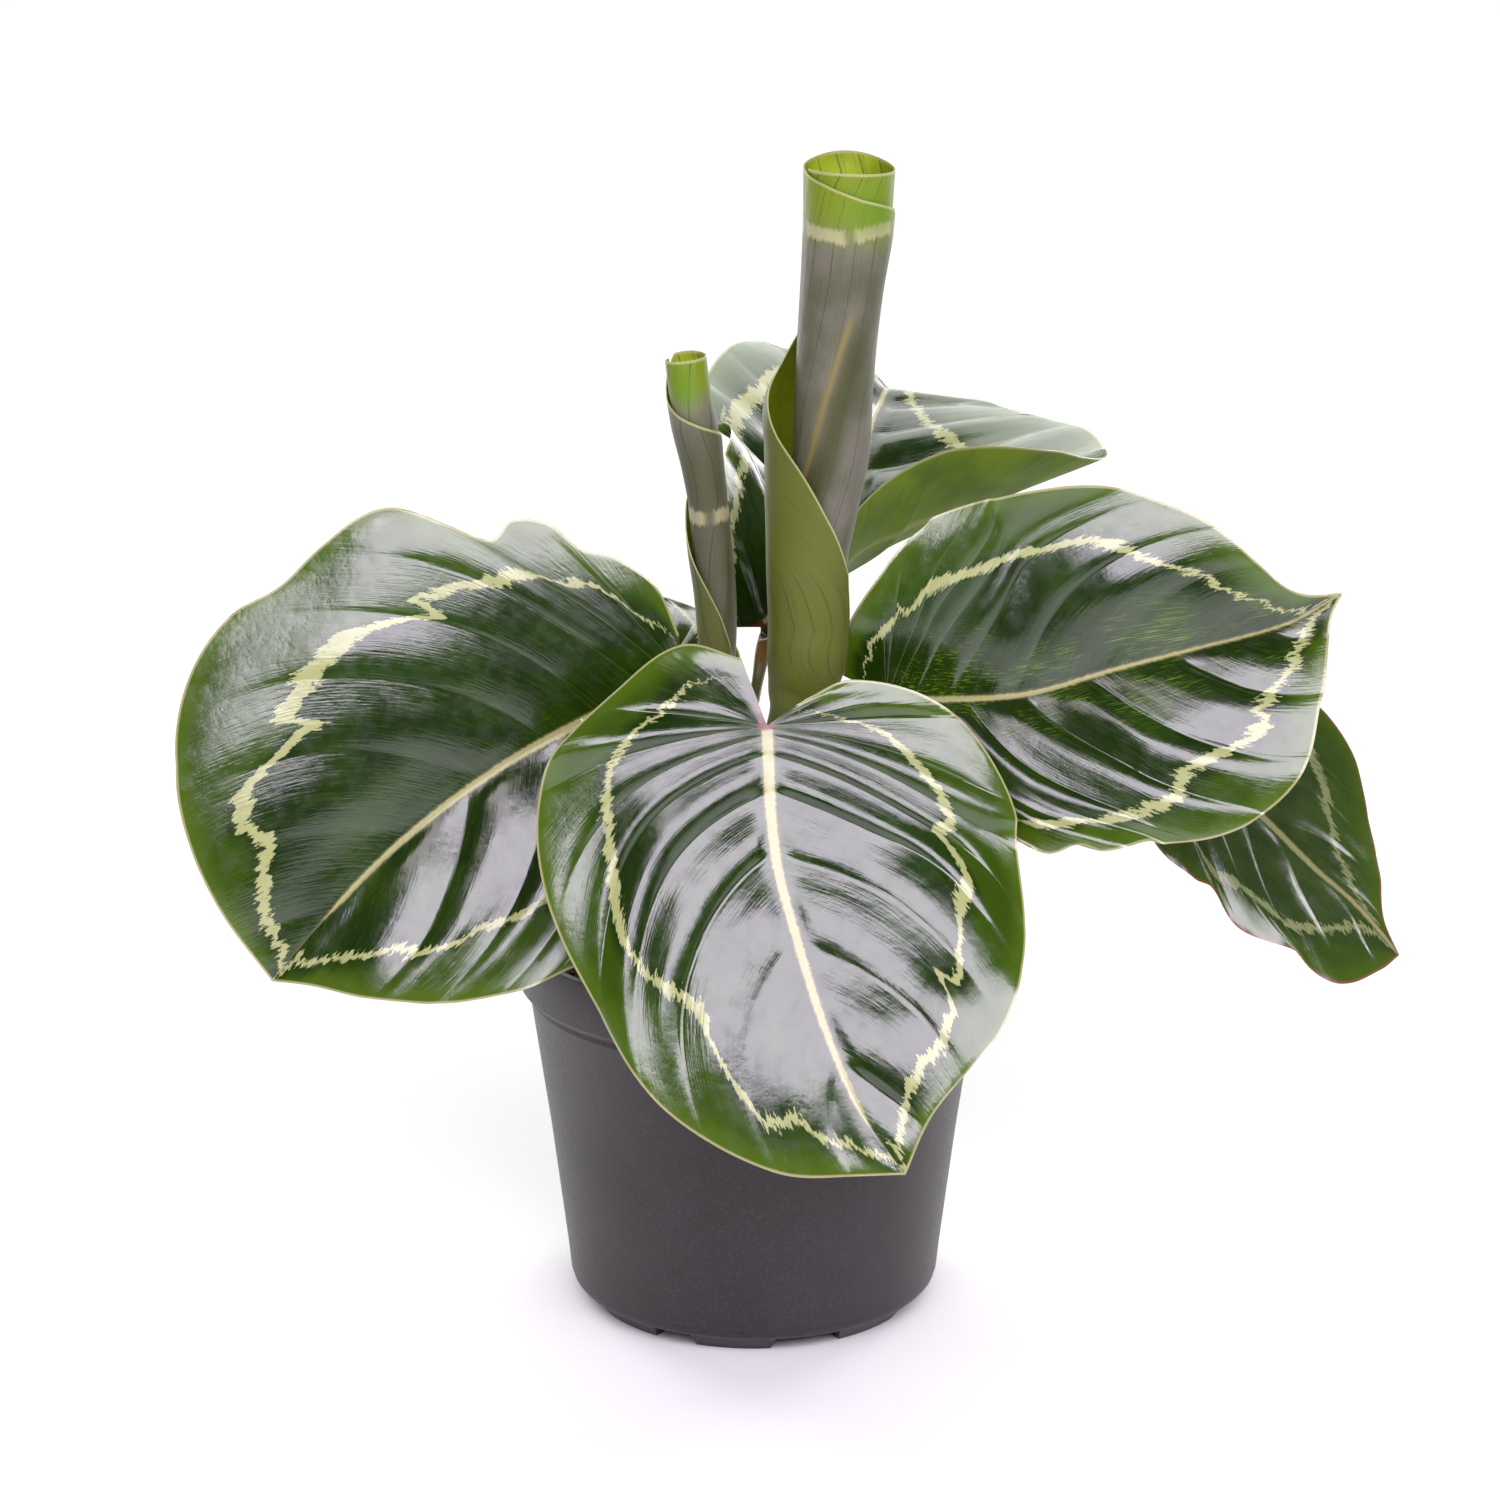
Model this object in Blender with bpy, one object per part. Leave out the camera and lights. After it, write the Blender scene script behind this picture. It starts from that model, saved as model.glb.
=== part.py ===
# Potted calathea: six open leaves and two leaves still rolled up, in a grower's plastic pot of soil.
# Frame: metres, +Z up, origin in the middle of the pot's underside. The view from -Y is the front.
import math

import bmesh
import bpy
import numpy as np
from mathutils import Vector

MM = 0.001
GAP = 0.3                       # clearance between neighbours, mm

# Pot, in mm
RIM_RADIUS = 60.0
POT_HEIGHT = 98.0
LIP_BOTTOM = 85.2               # height of the lip's lower outer edge
WALL_TOP = 82.7                 # height where the wall runs into the lip
WALL_OUTSIDE = [(6.6, 47.5), (14.0, 48.3), (46.0, 52.2), (WALL_TOP, 57.4)]   # height, radius
WALL_THICKNESS = 1.3
FLOOR_UNDERSIDE = 3.8
FLOOR_THICKNESS = 1.4
FOOT_MIDDLES = (-138, -97, -47, -2, 43, 88, 133, 178)   # degrees, measured on the three front ones
FOOT_RADIUS = 42.3
FOOT_INNER_RADIUS = 34.0
FOOT_SPAN = 28.0                # degrees
PAD_RADIUS = 12.0               # flat pad in the middle of the underside
HOLE_COUNT = 8
HOLE_RADIUS = 4.0
HOLE_CIRCLE = 25.0
POT_SIDES = 48

# Soil, in mm
SOIL_TOP = 85.5
SOIL_CROWN = 2.0                # how much the middle stands up round the stalks
SOIL_BUMP = 0.8
STALK_DEPTH = 18.0              # how far each stalk stands in the soil
SEED = 7

# Leaf blades, in mm
BLADE_UP = 0.35                 # from the middle sheet to the upper face
BLADE_DOWN = 0.35
KEEL_BASE = 2.2                 # depth of the midrib under the blade, at its base and its tip
KEEL_TIP = 0.5
KEEL_HALF_WIDTH = 1.8
KEEL_START = 4.0                # distance from the notch over which the midrib reaches its full depth
VEIN_STEPS = 22
ACROSS_STEPS = (0.0, 0.045, 0.25, 0.5, 0.76, 1.0)
LOBE_SHARE = 0.2                # share of the outline that belongs to the lobe behind the stalk
FAN = 1.15                      # how the veins spread along the midrib
VEIN_LEAN = 16.0                # degrees, how far each vein past the lobe bows towards the base

# A blade is given by its midrib in space, by the direction its upper face looks at the base and at
# the tip, and by its two halves laid flat. An outline runs from the notch at the stalk to the tip as
# (along, across). rise is the angle of a half at the midrib and bend the further turn to its margin,
# both in degrees at base and tip. curls add bend round a share of the outline, waves lift the margin.
LEAVES = {
    "leaf_front": dict(
        midrib=[(3, -35, 161), (5, -47, 133), (11, -59, 112), (18, -70, 93), (26, -78, 77), (36, -84, 64)],
        face=[(0.05, -0.75, 0.65), (-0.10, -0.95, 0.30)],
        right=dict(
            outline=[(-17, 5), (-21, 20), (-11, 37), (5, 53), (24, 58), (50, 53), (78, 44), (97, 28), (108, 11)],
            rise=(28, 5), bend=(-55, -20), waves=[(0.30, 0.04, 2.0), (0.55, 0.05, -1.5), (0.68, 0.05, 1.5)]),
        left=dict(
            outline=[(-5, 8), (-10, 22), (-2, 45), (16, 59), (38, 61), (63, 56), (84, 47), (101, 33), (109, 12)],
            rise=(25, 5), bend=(-55, -20), waves=[(0.40, 0.05, 1.5), (0.55, 0.05, -1.5), (0.70, 0.04, 1.5)]),
        stalk=dict(root=(2, -9), bends=[(4, -14, 118), (7, -23, 146)], arrive=(-0.1, -0.55, 0.4))),
    "leaf_left": dict(
        midrib=[(-18, -2, 166), (-36, -8, 158), (-62, -14, 145), (-86, -19, 128), (-105, -24, 110), (-120, -28, 93)],
        face=[(0.0, -0.92, 0.40), (-0.10, -0.92, 0.35)],
        right=dict(
            outline=[(-3, 9), (-3, 22), (3, 33), (10, 39), (14, 48), (21, 53), (28, 51), (36, 60), (45, 71),
                     (57, 74), (68, 72), (79, 75), (92, 70), (106, 57), (117, 39), (125, 20)],
            rise=(6, 0), bend=(-15, -15)),
        left=dict(
            outline=[(-4, 10), (-6, 28), (2, 45), (20, 56), (42, 58), (65, 53), (84, 49), (98, 42), (108, 33),
                     (117, 22), (124, 9)],
            rise=(25, 20), bend=(-35, -25), waves=[(0.45, 0.06, -1.5), (0.60, 0.06, 1.5)]),
        stalk=dict(root=(-9, -4), bends=[(-11, -4, 118), (-14, 0, 146)], arrive=(-0.3, -0.5, 0.7))),
    "leaf_right": dict(
        midrib=[(33, -3, 159), (46, -4, 159), (68, -6, 161), (90, -8, 168), (111, -9, 174), (132, -9, 180),
                (145, -10, 188)],
        face=[(-0.20, -0.86, 0.47), (-0.20, -0.86, 0.47)],
        right=dict(
            outline=[(-5, 8), (-8, 21), (0, 33), (14, 39), (30, 38), (35, 42), (40, 41), (44, 44), (55, 45),
                     (60, 47), (75, 48), (88, 44), (96, 37), (103, 22), (111, 6)],
            rise=(12, 6), bend=(-30, -20), waves=[(0.38, 0.03, -1.5), (0.46, 0.03, 2.0), (0.54, 0.03, -1.5)]),
        left=dict(
            outline=[(-11, 6), (-10, 18), (-1, 33), (6, 42), (22, 50), (45, 51), (59, 48), (71, 44), (88, 31),
                     (104, 13), (110, 5)],
            rise=(12, 6), bend=(-30, -20), waves=[(0.40, 0.06, 1.5), (0.62, 0.06, -1.5)]),
        stalk=dict(root=(9, -3), bends=[(13, -1, 118), (22, 4, 144)], arrive=(0.6, -0.4, 0.6))),
    "leaf_far_right": dict(
        midrib=[(98, 38, 139), (115, 36, 131), (131, 33, 118), (146, 29, 104), (157, 25, 95), (168, 20, 83)],
        face=[(0.20, -0.60, 0.70), (0.30, -0.60, 0.70)],
        right=dict(
            outline=[(-3, 10), (3, 28), (18, 36), (36, 36), (42, 33), (56, 34), (69, 29), (79, 28), (88, 23),
                     (92, 9)],
            rise=(25, 10), bend=(-20, -20), waves=[(0.40, 0.05, 1.5), (0.55, 0.05, -1.5), (0.70, 0.04, 1.5)]),
        left=dict(
            outline=[(-3, 10), (3, 26), (18, 36), (36, 40), (49, 39), (59, 32), (67, 24), (74, 15), (82, 5)],
            rise=(20, -10), bend=(-20, -10), waves=[(0.45, 0.06, 1.0)]),
        stalk=dict(root=(11, 5), bends=[(17, 8, 112), (42, 24, 134), (70, 42, 138)], arrive=(0.87, -0.45, 0.07))),
    "leaf_back": dict(
        midrib=[(2, 48, 164), (13, 62, 171), (23, 78, 178), (29, 98, 191), (32, 118, 202),
                (35, 131, 206), (38, 140, 208), (41, 146, 196)],
        face=[(0.10, -0.80, 0.60), (0.05, 0.10, 0.95)],
        right=dict(
            outline=[(-10, 8), (-14, 22), (-11, 42), (3, 62), (26, 78), (48, 76), (72, 63), (92, 46), (108, 28)],
            rise=(62, -1), bend=(-20, -10), curls=[(0.32, 0.10, 75), (0.46, 0.06, 22)],
            waves=[(0.17, 0.10, 5.0), (0.60, 0.05, -1.5)]),
        left=dict(
            outline=[(-11, 7), (-12, 20), (0, 32), (14, 40), (34, 47), (54, 51), (76, 50), (96, 40), (110, 20)],
            rise=(46, 30), bend=(-10, -30), waves=[(0.55, 0.06, 1.5)]),
        stalk=dict(root=(0, 12), bends=[(0, 16, 116), (-1, 36, 138)], arrive=(0.2, 0.1, 0.95))),
    "leaf_back_left": dict(
        midrib=[(-29, 30, 151), (-39, 44, 159), (-52, 62, 161), (-66, 80, 154), (-78, 96, 139), (-86, 108, 121)],
        face=[(0.10, -0.45, 0.90), (-0.40, 0.30, 0.85)],
        right=dict(
            outline=[(-5, 8), (-8, 18), (-2, 29), (15, 35), (38, 36), (60, 32), (78, 22), (92, 8)],
            rise=(10, -10), bend=(-25, -30), waves=[(0.50, 0.06, 1.5)]),
        left=dict(
            outline=[(-5, 8), (-8, 20), (0, 32), (18, 39), (40, 40), (60, 34), (78, 22), (92, 8)],
            rise=(10, 0), bend=(-30, -30), waves=[(0.45, 0.06, -1.5)]),
        stalk=dict(root=(-9, 6), bends=[(-13, 11, 112), (-22, 21, 135)], arrive=(-0.3, 0.4, 0.85))),
}

# Rolled leaves, in mm. axis rows are share of the height, x, y, z. girth rows are share of the height,
# radius of the outer turn and how far the outer turn stands off as a flap. margin and inner rows are
# the two long edges of the sheet as angle and share of the height. Angles count from +X towards +Y,
# and the sheet winds inwards as they fall.
ROLL_SHEET = 0.6                # thickness
ROLL_PITCH = 1.5                # radius lost in one turn
FLAP_START = 380.0
FLAP_SPAN = 140.0
ROLLS = {
    "rolled_leaf_tall": dict(
        axis=[(0, 4.8, -6, 152), (0.03, 8.5, -6, 156), (0.07, 11.2, -5, 162), (0.12, 12.9, -5, 169),
              (0.2, 13.6, -4, 180), (0.3, 14.2, -4, 194), (0.4, 16.6, -3.5, 208), (0.5, 18.8, -3, 222),
              (0.6, 19.3, -3, 236), (0.7, 20.1, -2.5, 250), (0.8, 21.3, -2, 264), (0.9, 22.7, -1.5, 278),
              (1, 23.2, -1, 291.5)],
        girth=[(0, 2.4, 0), (0.03, 5.8, 0), (0.07, 8.1, 0.2), (0.12, 9.4, 0.5), (0.2, 9.5, 0.9), (0.3, 9.3, 2.2),
               (0.4, 9.5, 4.8), (0.5, 9.9, 6.5), (0.6, 10.1, 6.3), (0.66, 10.1, 2.5), (0.72, 10.2, 0.4),
               (0.8, 10.5, 0), (0.9, 11.2, 0), (1, 11.2, 0)],
        margin=[(180, 1), (235, 0.98), (285, 0.955), (345, 0.935), (378, 0.9), (450, 0.8), (496, 0.72),
                (528, 0.66), (554, 0.6), (594, 0.5), (636, 0.4), (682, 0.3), (704, 0.2)],
        inner=[(-165, 0.93), (-108, 0.8), (-4, 0.6), (78, 0.4), (164, 0.2), (200, 0.12), (290, 0.07), (380, 0.03),
               (440, 0)],
        rows=12, columns=44,
        stalk=dict(root=(4, 2), bends=[(5, 0, 112), (4, -4, 134)])),
    "rolled_leaf_short": dict(
        axis=[(0, -8.5, 0, 158), (0.18, -8.8, 0, 173), (0.32, -9.3, 0.5, 185.5), (0.48, -10.8, 1, 199.5),
              (0.6, -11.8, 1.2, 210), (0.7, -13, 1.5, 218.5), (0.8, -14.4, 1.7, 227), (0.9, -16, 2, 236),
              (1, -17, 2.2, 244.5)],
        girth=[(0, 2.2, 0), (0.08, 4, 0), (0.18, 4.9, 0.3), (0.26, 5.2, 0.4), (0.34, 5.3, 0.5), (0.43, 5.4, 0.6),
               (0.5, 5.4, 0.5), (0.58, 5.3, 0.3), (0.7, 5.6, 0), (0.8, 6, 0), (0.9, 5.6, 0), (1, 5.4, 0)],
        margin=[(120, 1), (182, 0.895), (235, 0.85), (290, 0.81), (350, 0.775), (440, 0.7), (520, 0.58),
                (548, 0.5), (574, 0.43), (610, 0.34), (640, 0.26), (664, 0.18), (690, 0.08)],
        inner=[(-210, 0.93), (-178, 0.81), (-136, 0.775), (-64, 0.7), (16, 0.58), (44, 0.5), (106, 0.34),
               (160, 0.18), (366, 0.08), (474, 0)],
        rows=10, columns=40,
        stalk=dict(root=(-3, 3), bends=[(-5, 2, 112), (-8, 0, 138)])),
}

# Stalks, in mm
STALK_FOOT = 2.2                # radius in the soil
STALK_NECK = 1.5                # radius below the swollen joint under the blade
JOINT_RADIUS = 2.1
JOINT_LENGTH = 13.0
STALK_END = 0.9
STALK_SIDES = 8

# Finishes: colour, roughness
FINISHES = {
    "pot_plastic": ((0.075, 0.066, 0.072), 0.55),
    "soil": ((0.030, 0.019, 0.012), 0.95),
    "leaf_blade": ((0.030, 0.090, 0.016), 0.35),
    "rolled_leaf": ((0.160, 0.200, 0.090), 0.45),
    "leaf_stalk": ((0.130, 0.120, 0.040), 0.50),
}


# Curves and frames
def smooth_line(points, shares):
    """Cubic curve through the points, read at shares of its length."""
    p = np.asarray(points, float)
    ends = np.vstack([2 * p[0] - p[1], p, 2 * p[-1] - p[-2]])
    u = np.linspace(0, 1, 24, endpoint=False)[:, None]
    pieces = []
    for i in range(1, len(ends) - 2):
        before, start, stop, after = ends[i - 1:i + 3]
        span = np.linalg.norm(stop - start)
        leave = (stop - before) / np.linalg.norm(stop - before) * span
        reach = (after - start) / np.linalg.norm(after - start) * span
        pieces.append((2 * u**3 - 3 * u**2 + 1) * start + (u**3 - 2 * u**2 + u) * leave
                      + (3 * u**2 - 2 * u**3) * stop + (u**3 - u**2) * reach)
    fine = np.vstack(pieces + [p[-1:]])
    run = np.concatenate([[0], np.cumsum(np.linalg.norm(np.diff(fine, axis=0), axis=1))])
    want = np.asarray(shares) * run[-1]
    return np.stack([np.interp(want, run, fine[:, k]) for k in range(p.shape[1])], -1)


def smooth_rows(rows, at):
    """Smooth value of each column of the rows against their first column."""
    table = np.asarray(rows, float)
    x = table[:, 0]
    i = np.clip(np.searchsorted(x, at) - 1, 0, len(x) - 2)
    d = x[i + 1] - x[i]
    u = (at - x[i]) / d
    columns = []
    for y in table[:, 1:].T:
        m = np.gradient(y, x)
        columns.append((2 * u**3 - 3 * u**2 + 1) * y[i] + (u**3 - 2 * u**2 + u) * d * m[i]
                       + (3 * u**2 - 2 * u**3) * y[i + 1] + (u**3 - u**2) * d * m[i + 1])
    return np.stack(columns, -1)


def unit(v):
    return v / np.linalg.norm(v, axis=-1, keepdims=True)


# Meshes and materials
def make_material(name):
    colour, roughness = FINISHES[name]
    material = bpy.data.materials.get(name)
    if material is None:
        material = bpy.data.materials.new(name)
        material.use_nodes = True
        shader = material.node_tree.nodes["Principled BSDF"]
        shader.inputs["Base Color"].default_value = (*colour, 1.0)
        shader.inputs["Roughness"].default_value = roughness
        shader.inputs["Metallic"].default_value = 0.0
    return material


def make_object(name, points, faces, finish):
    mesh = bpy.data.meshes.new(name)
    mesh.from_pydata([tuple(p) for p in np.asarray(points) * MM], [], [tuple(int(i) for i in f) for f in faces])
    mesh.validate()
    mesh.materials.append(make_material(finish))
    mesh.shade_smooth()
    mesh.set_sharp_from_angle(angle=math.radians(40))
    made = bpy.data.objects.new(name, mesh)
    bpy.context.scene.collection.objects.link(made)
    return made


def sheet_solid(points, triangles, up, down):
    """Closed solid round an open sheet: each point moves up and down its own normal."""
    a, b, c = (points[triangles[:, k]] for k in range(3))
    normals = np.zeros_like(points)
    for k in range(3):
        np.add.at(normals, triangles[:, k], np.cross(b - a, c - a))
    normals = unit(normals)
    count = len(points)
    edges = np.concatenate([triangles[:, [0, 1]], triangles[:, [1, 2]], triangles[:, [2, 0]]])
    known = {(i, j) for i, j in edges.tolist()}
    rim = [(i, j) for i, j in edges.tolist() if (j, i) not in known]
    faces = triangles.tolist() + (triangles[:, ::-1] + count).tolist()
    for i, j in rim:
        faces.append((j, i, i + count))
        faces.append((j, i + count, j + count))
    solid = np.vstack([points + normals * up[:, None], points - normals * down[:, None]])
    return solid, faces


def revolve(profile, sides):
    """Solid of revolution from a profile of (radius, height), which starts and ends on the axis."""
    points = [(0, 0, profile[0][1])]
    faces = []
    rings = profile[1:-1]
    for radius, height in rings:
        for k in range(sides):
            turn = 2 * math.pi * k / sides
            points.append((radius * math.cos(turn), radius * math.sin(turn), height))
    points.append((0, 0, profile[-1][1]))
    last = len(points) - 1
    for k in range(sides):
        nxt = (k + 1) % sides
        faces.append((0, 1 + nxt, 1 + k))
        for ring in range(len(rings) - 1):
            low = 1 + ring * sides
            high = low + sides
            faces.append((low + k, low + nxt, high + nxt, high + k))
        top = 1 + (len(rings) - 1) * sides
        faces.append((top + k, top + nxt, last))
    return points, faces


def apply_boolean(target, tools, operation):
    """Joins or cuts target with every tool, applies the result and removes the tools."""
    group = bpy.data.collections.new("tools")
    for tool in tools:
        group.objects.link(tool)
    step = target.modifiers.new(operation, "BOOLEAN")
    step.operation = operation
    step.operand_type = "COLLECTION"
    step.collection = group
    step.solver = "EXACT"
    bpy.context.view_layer.update()
    seen = target.evaluated_get(bpy.context.evaluated_depsgraph_get())
    result = bpy.data.meshes.new_from_object(seen)
    target.modifiers.remove(step)
    target.data = result
    for tool in tools:
        bpy.data.objects.remove(tool, do_unlink=True)
    bpy.data.collections.remove(group)


# Pot
def inner_radius(height):
    heights, radii = zip(*WALL_OUTSIDE)
    return float(np.interp(height, heights, radii)) - WALL_THICKNESS


def pot_profile():
    floor_top = FLOOR_UNDERSIDE + FLOOR_THICKNESS
    foot_height, foot_radius = WALL_OUTSIDE[0]
    outside = [(0, FLOOR_UNDERSIDE), (foot_radius - 2.3, FLOOR_UNDERSIDE),
               (foot_radius - 1.2, FLOOR_UNDERSIDE + 0.4), (foot_radius - 0.5, FLOOR_UNDERSIDE + 1.2),
               (foot_radius - 0.3, foot_height - 0.2)]
    outside += [(radius, height) for height, radius in WALL_OUTSIDE]
    outside += [(RIM_RADIUS - 0.5, LIP_BOTTOM - 0.4), (RIM_RADIUS, LIP_BOTTOM), (RIM_RADIUS, POT_HEIGHT - 0.6),
                (RIM_RADIUS - 0.6, POT_HEIGHT)]
    inside = [(RIM_RADIUS - WALL_THICKNESS, POT_HEIGHT), (RIM_RADIUS - WALL_THICKNESS - 0.4, POT_HEIGHT - 0.6),
              (RIM_RADIUS - WALL_THICKNESS - 0.4, LIP_BOTTOM + 1.2), (inner_radius(WALL_TOP), WALL_TOP - 0.5),
              (inner_radius(46), 46), (inner_radius(14), 14), (inner_radius(floor_top + 3), floor_top + 3),
              (inner_radius(floor_top) - 2.0, floor_top), (0, floor_top)]
    return outside + inside


def foot_block(name, middle):
    """One foot: a slice of a ring under the floor, sunk a little way into it."""
    half = math.radians(FOOT_SPAN / 2)
    turns = np.radians(middle) + np.linspace(-half, half, 5)
    points = []
    for height, grow in ((0.0, 0.0), (FLOOR_UNDERSIDE + 0.5, 0.5)):
        for radius in (FOOT_INNER_RADIUS, FOOT_RADIUS + grow):
            points += [(radius * math.cos(t), radius * math.sin(t), height) for t in turns]
    n = len(turns)
    faces = []
    for k in range(n - 1):
        faces.append((k, k + 1, n + k + 1, n + k))
        faces.append((2 * n + k, 3 * n + k, 3 * n + k + 1, 2 * n + k + 1))
        faces.append((n + k, n + k + 1, 3 * n + k + 1, 3 * n + k))
        faces.append((k, 2 * n + k, 2 * n + k + 1, k + 1))
    faces.append((0, n, 3 * n, 2 * n))
    faces.append((n - 1, 3 * n - 1, 4 * n - 1, 2 * n - 1))
    return outward(make_object(name, points, faces, "pot_plastic"))


def outward(item):
    """Turns every face of a closed mesh outwards."""
    work = bmesh.new()
    work.from_mesh(item.data)
    bmesh.ops.recalc_face_normals(work, faces=work.faces)
    work.to_mesh(item.data)
    work.free()
    return item


def upright(name, x, y, radius, low, high, sides=16):
    """Plain upright cylinder."""
    points, faces = revolve([(0, low), (radius, low), (radius, high), (0, high)], sides)
    moved = np.asarray(points, float) + np.array([x, y, 0.0])
    return outward(make_object(name, moved, faces, "pot_plastic"))


def make_pot():
    points, faces = revolve(pot_profile(), POT_SIDES)
    pot = outward(make_object("pot", points, faces, "pot_plastic"))
    feet = [foot_block("foot", middle) for middle in FOOT_MIDDLES]
    feet.append(upright("pad", 0, 0, PAD_RADIUS, 0.0, FLOOR_UNDERSIDE + 0.5, 24))
    apply_boolean(pot, feet, "UNION")
    holes = []
    for k in range(HOLE_COUNT):
        turn = 2 * math.pi / HOLE_COUNT * (k + 0.5)
        holes.append(upright("hole", HOLE_CIRCLE * math.cos(turn), HOLE_CIRCLE * math.sin(turn), HOLE_RADIUS,
                             FLOOR_UNDERSIDE - 2, FLOOR_UNDERSIDE + FLOOR_THICKNESS + 2, 12))
    apply_boolean(pot, holes, "DIFFERENCE")
    return pot


# Soil
def soil_height(x, y):
    """Top of the soil: a low mound round the stalks with soft bumps that fade out at the wall."""
    draw = np.random.default_rng(SEED)
    radius = np.hypot(x, y)
    edge = inner_radius(WALL_TOP)
    height = SOIL_TOP + SOIL_CROWN * np.exp(-(radius / 22.0) ** 2)
    for _ in range(9):
        turn = draw.uniform(0, 2 * math.pi)
        wave = draw.uniform(9, 22)
        shift = draw.uniform(0, 2 * math.pi)
        height += SOIL_BUMP / 3 * np.sin((x * math.cos(turn) + y * math.sin(turn)) * 2 * math.pi / wave + shift) \
            * np.clip((edge - radius) / 8, 0, 1)
    return height


def make_soil(roots):
    floor = FLOOR_UNDERSIDE + FLOOR_THICKNESS + GAP
    clear = GAP + 0.15
    top_edge = inner_radius(WALL_TOP) - clear
    sides = [(inner_radius(height) - clear, height) for height in (floor + 3.2, 14, 46, WALL_TOP - 0.8)]
    rings = [0.86 * top_edge, 0.66 * top_edge, 0.46 * top_edge, 0.28 * top_edge, 0.12 * top_edge]
    profile = [(0, floor), (inner_radius(floor) - 2.6, floor)] + sides + [(top_edge, SOIL_TOP)]
    profile += [(ring, SOIL_TOP) for ring in rings] + [(0, SOIL_TOP)]
    points, faces = revolve(profile, POT_SIDES)
    points = np.asarray(points, float)
    top = points[:, 2] > SOIL_TOP - 0.01
    points[top, 2] = soil_height(points[top, 0], points[top, 1])
    soil = outward(make_object("soil", points, faces, "soil"))
    holes = [upright("hole", x, y, STALK_FOOT + GAP + 0.1, SOIL_TOP - STALK_DEPTH - GAP, SOIL_TOP + 9, 14)
             for x, y in roots]
    apply_boolean(soil, holes, "DIFFERENCE")
    return soil


# Leaf blades
def midrib_frame(leaf, along):
    """Point, direction, upward normal and right-hand side at distances along the midrib."""
    shares = np.linspace(0, 1, 160)
    line = smooth_line(leaf["midrib"], shares)
    run = np.concatenate([[0], np.cumsum(np.linalg.norm(np.diff(line, axis=0), axis=1))])
    lead = unit(np.gradient(line, run, axis=0))
    on = np.clip(along, 0, run[-1])
    point = np.stack([np.interp(on, run, line[:, k]) for k in range(3)], -1)
    ahead = unit(np.stack([np.interp(on, run, lead[:, k]) for k in range(3)], -1))
    point = point + ahead * (along - on)[..., None]
    share = (on / run[-1])[..., None]
    face = (1 - share) * np.asarray(leaf["face"][0]) + share * np.asarray(leaf["face"][1])
    normal = unit(face - (face * ahead).sum(-1, keepdims=True) * ahead)
    return point, ahead, normal, np.cross(ahead, normal), run[-1]


def flat_veins(half, length, s, t):
    """Flat place of share s round the outline and share t from midrib to margin, along a bowed vein."""
    margin = smooth_line(half["outline"] + [(length, 0)], s)
    start = np.stack([length * np.clip((s - LOBE_SHARE) / (1 - LOBE_SHARE), 0, 1) ** FAN, np.zeros_like(s)], -1)
    lean = np.radians(VEIN_LEAN) * np.clip(s / LOBE_SHARE - 1, 0, 1)
    chord = margin - start
    bow = np.stack([np.cos(lean) * chord[:, 0] - np.sin(lean) * chord[:, 1],
                    np.sin(lean) * chord[:, 0] + np.cos(lean) * chord[:, 1]], -1)
    middle = start + 0.5 * bow
    t = t[None, :, None]
    place = (1 - t) ** 2 * start[:, None] + 2 * t * (1 - t) * middle[:, None] + t ** 2 * margin[:, None]
    return place[..., 0], np.maximum(place[..., 1], 0)


def half_blade(leaf, side, s, t):
    """Points of one half in space, how deep the midrib is under each, and how far each sits from the
    midrib when flat. The half turns by rise at the midrib and by bend on its way out."""
    half = leaf[side]
    sign = 1 if side == "right" else -1
    length = midrib_frame(leaf, np.zeros(1))[4]
    along, across = flat_veins(half, length, s, t)
    point, _, normal, sideways, _ = midrib_frame(leaf, along)
    share = np.clip(along / length, 0, 1)
    width = max(p[1] for p in half["outline"])
    rise = np.radians((1 - share) * half["rise"][0] + share * half["rise"][1])
    bend = np.radians((1 - share) * half["bend"][0] + share * half["bend"][1])
    for place, spread, extra in half.get("curls", []):
        bend = bend + math.radians(extra) * np.exp(-((s[:, None] - place) / spread) ** 2)
    rate = np.where(np.abs(bend) < 1e-4, 1e-4, bend) / width
    turn = rise + rate * across
    out = (np.sin(turn) - np.sin(rise)) / rate
    up = (np.cos(rise) - np.cos(turn)) / rate
    placed = point + sideways * (sign * out)[..., None] + normal * up[..., None]
    lift = np.zeros_like(along)
    for place, spread, height in half.get("waves", []):
        lift = lift + height * np.exp(-((s[:, None] - place) / spread) ** 2) * t[None, :] ** 2.2
    own = normal * np.cos(turn)[..., None] - sideways * (sign * np.sin(turn))[..., None]
    ridge = np.clip(1 - across / KEEL_HALF_WIDTH, 0, 1) * np.clip(along[:, :1] / KEEL_START, 0, 1)
    keel = ridge * (KEEL_BASE + (KEEL_TIP - KEEL_BASE) * share)
    return placed + own * lift[..., None], keel, np.hypot(np.minimum(along, 0), across)


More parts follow.
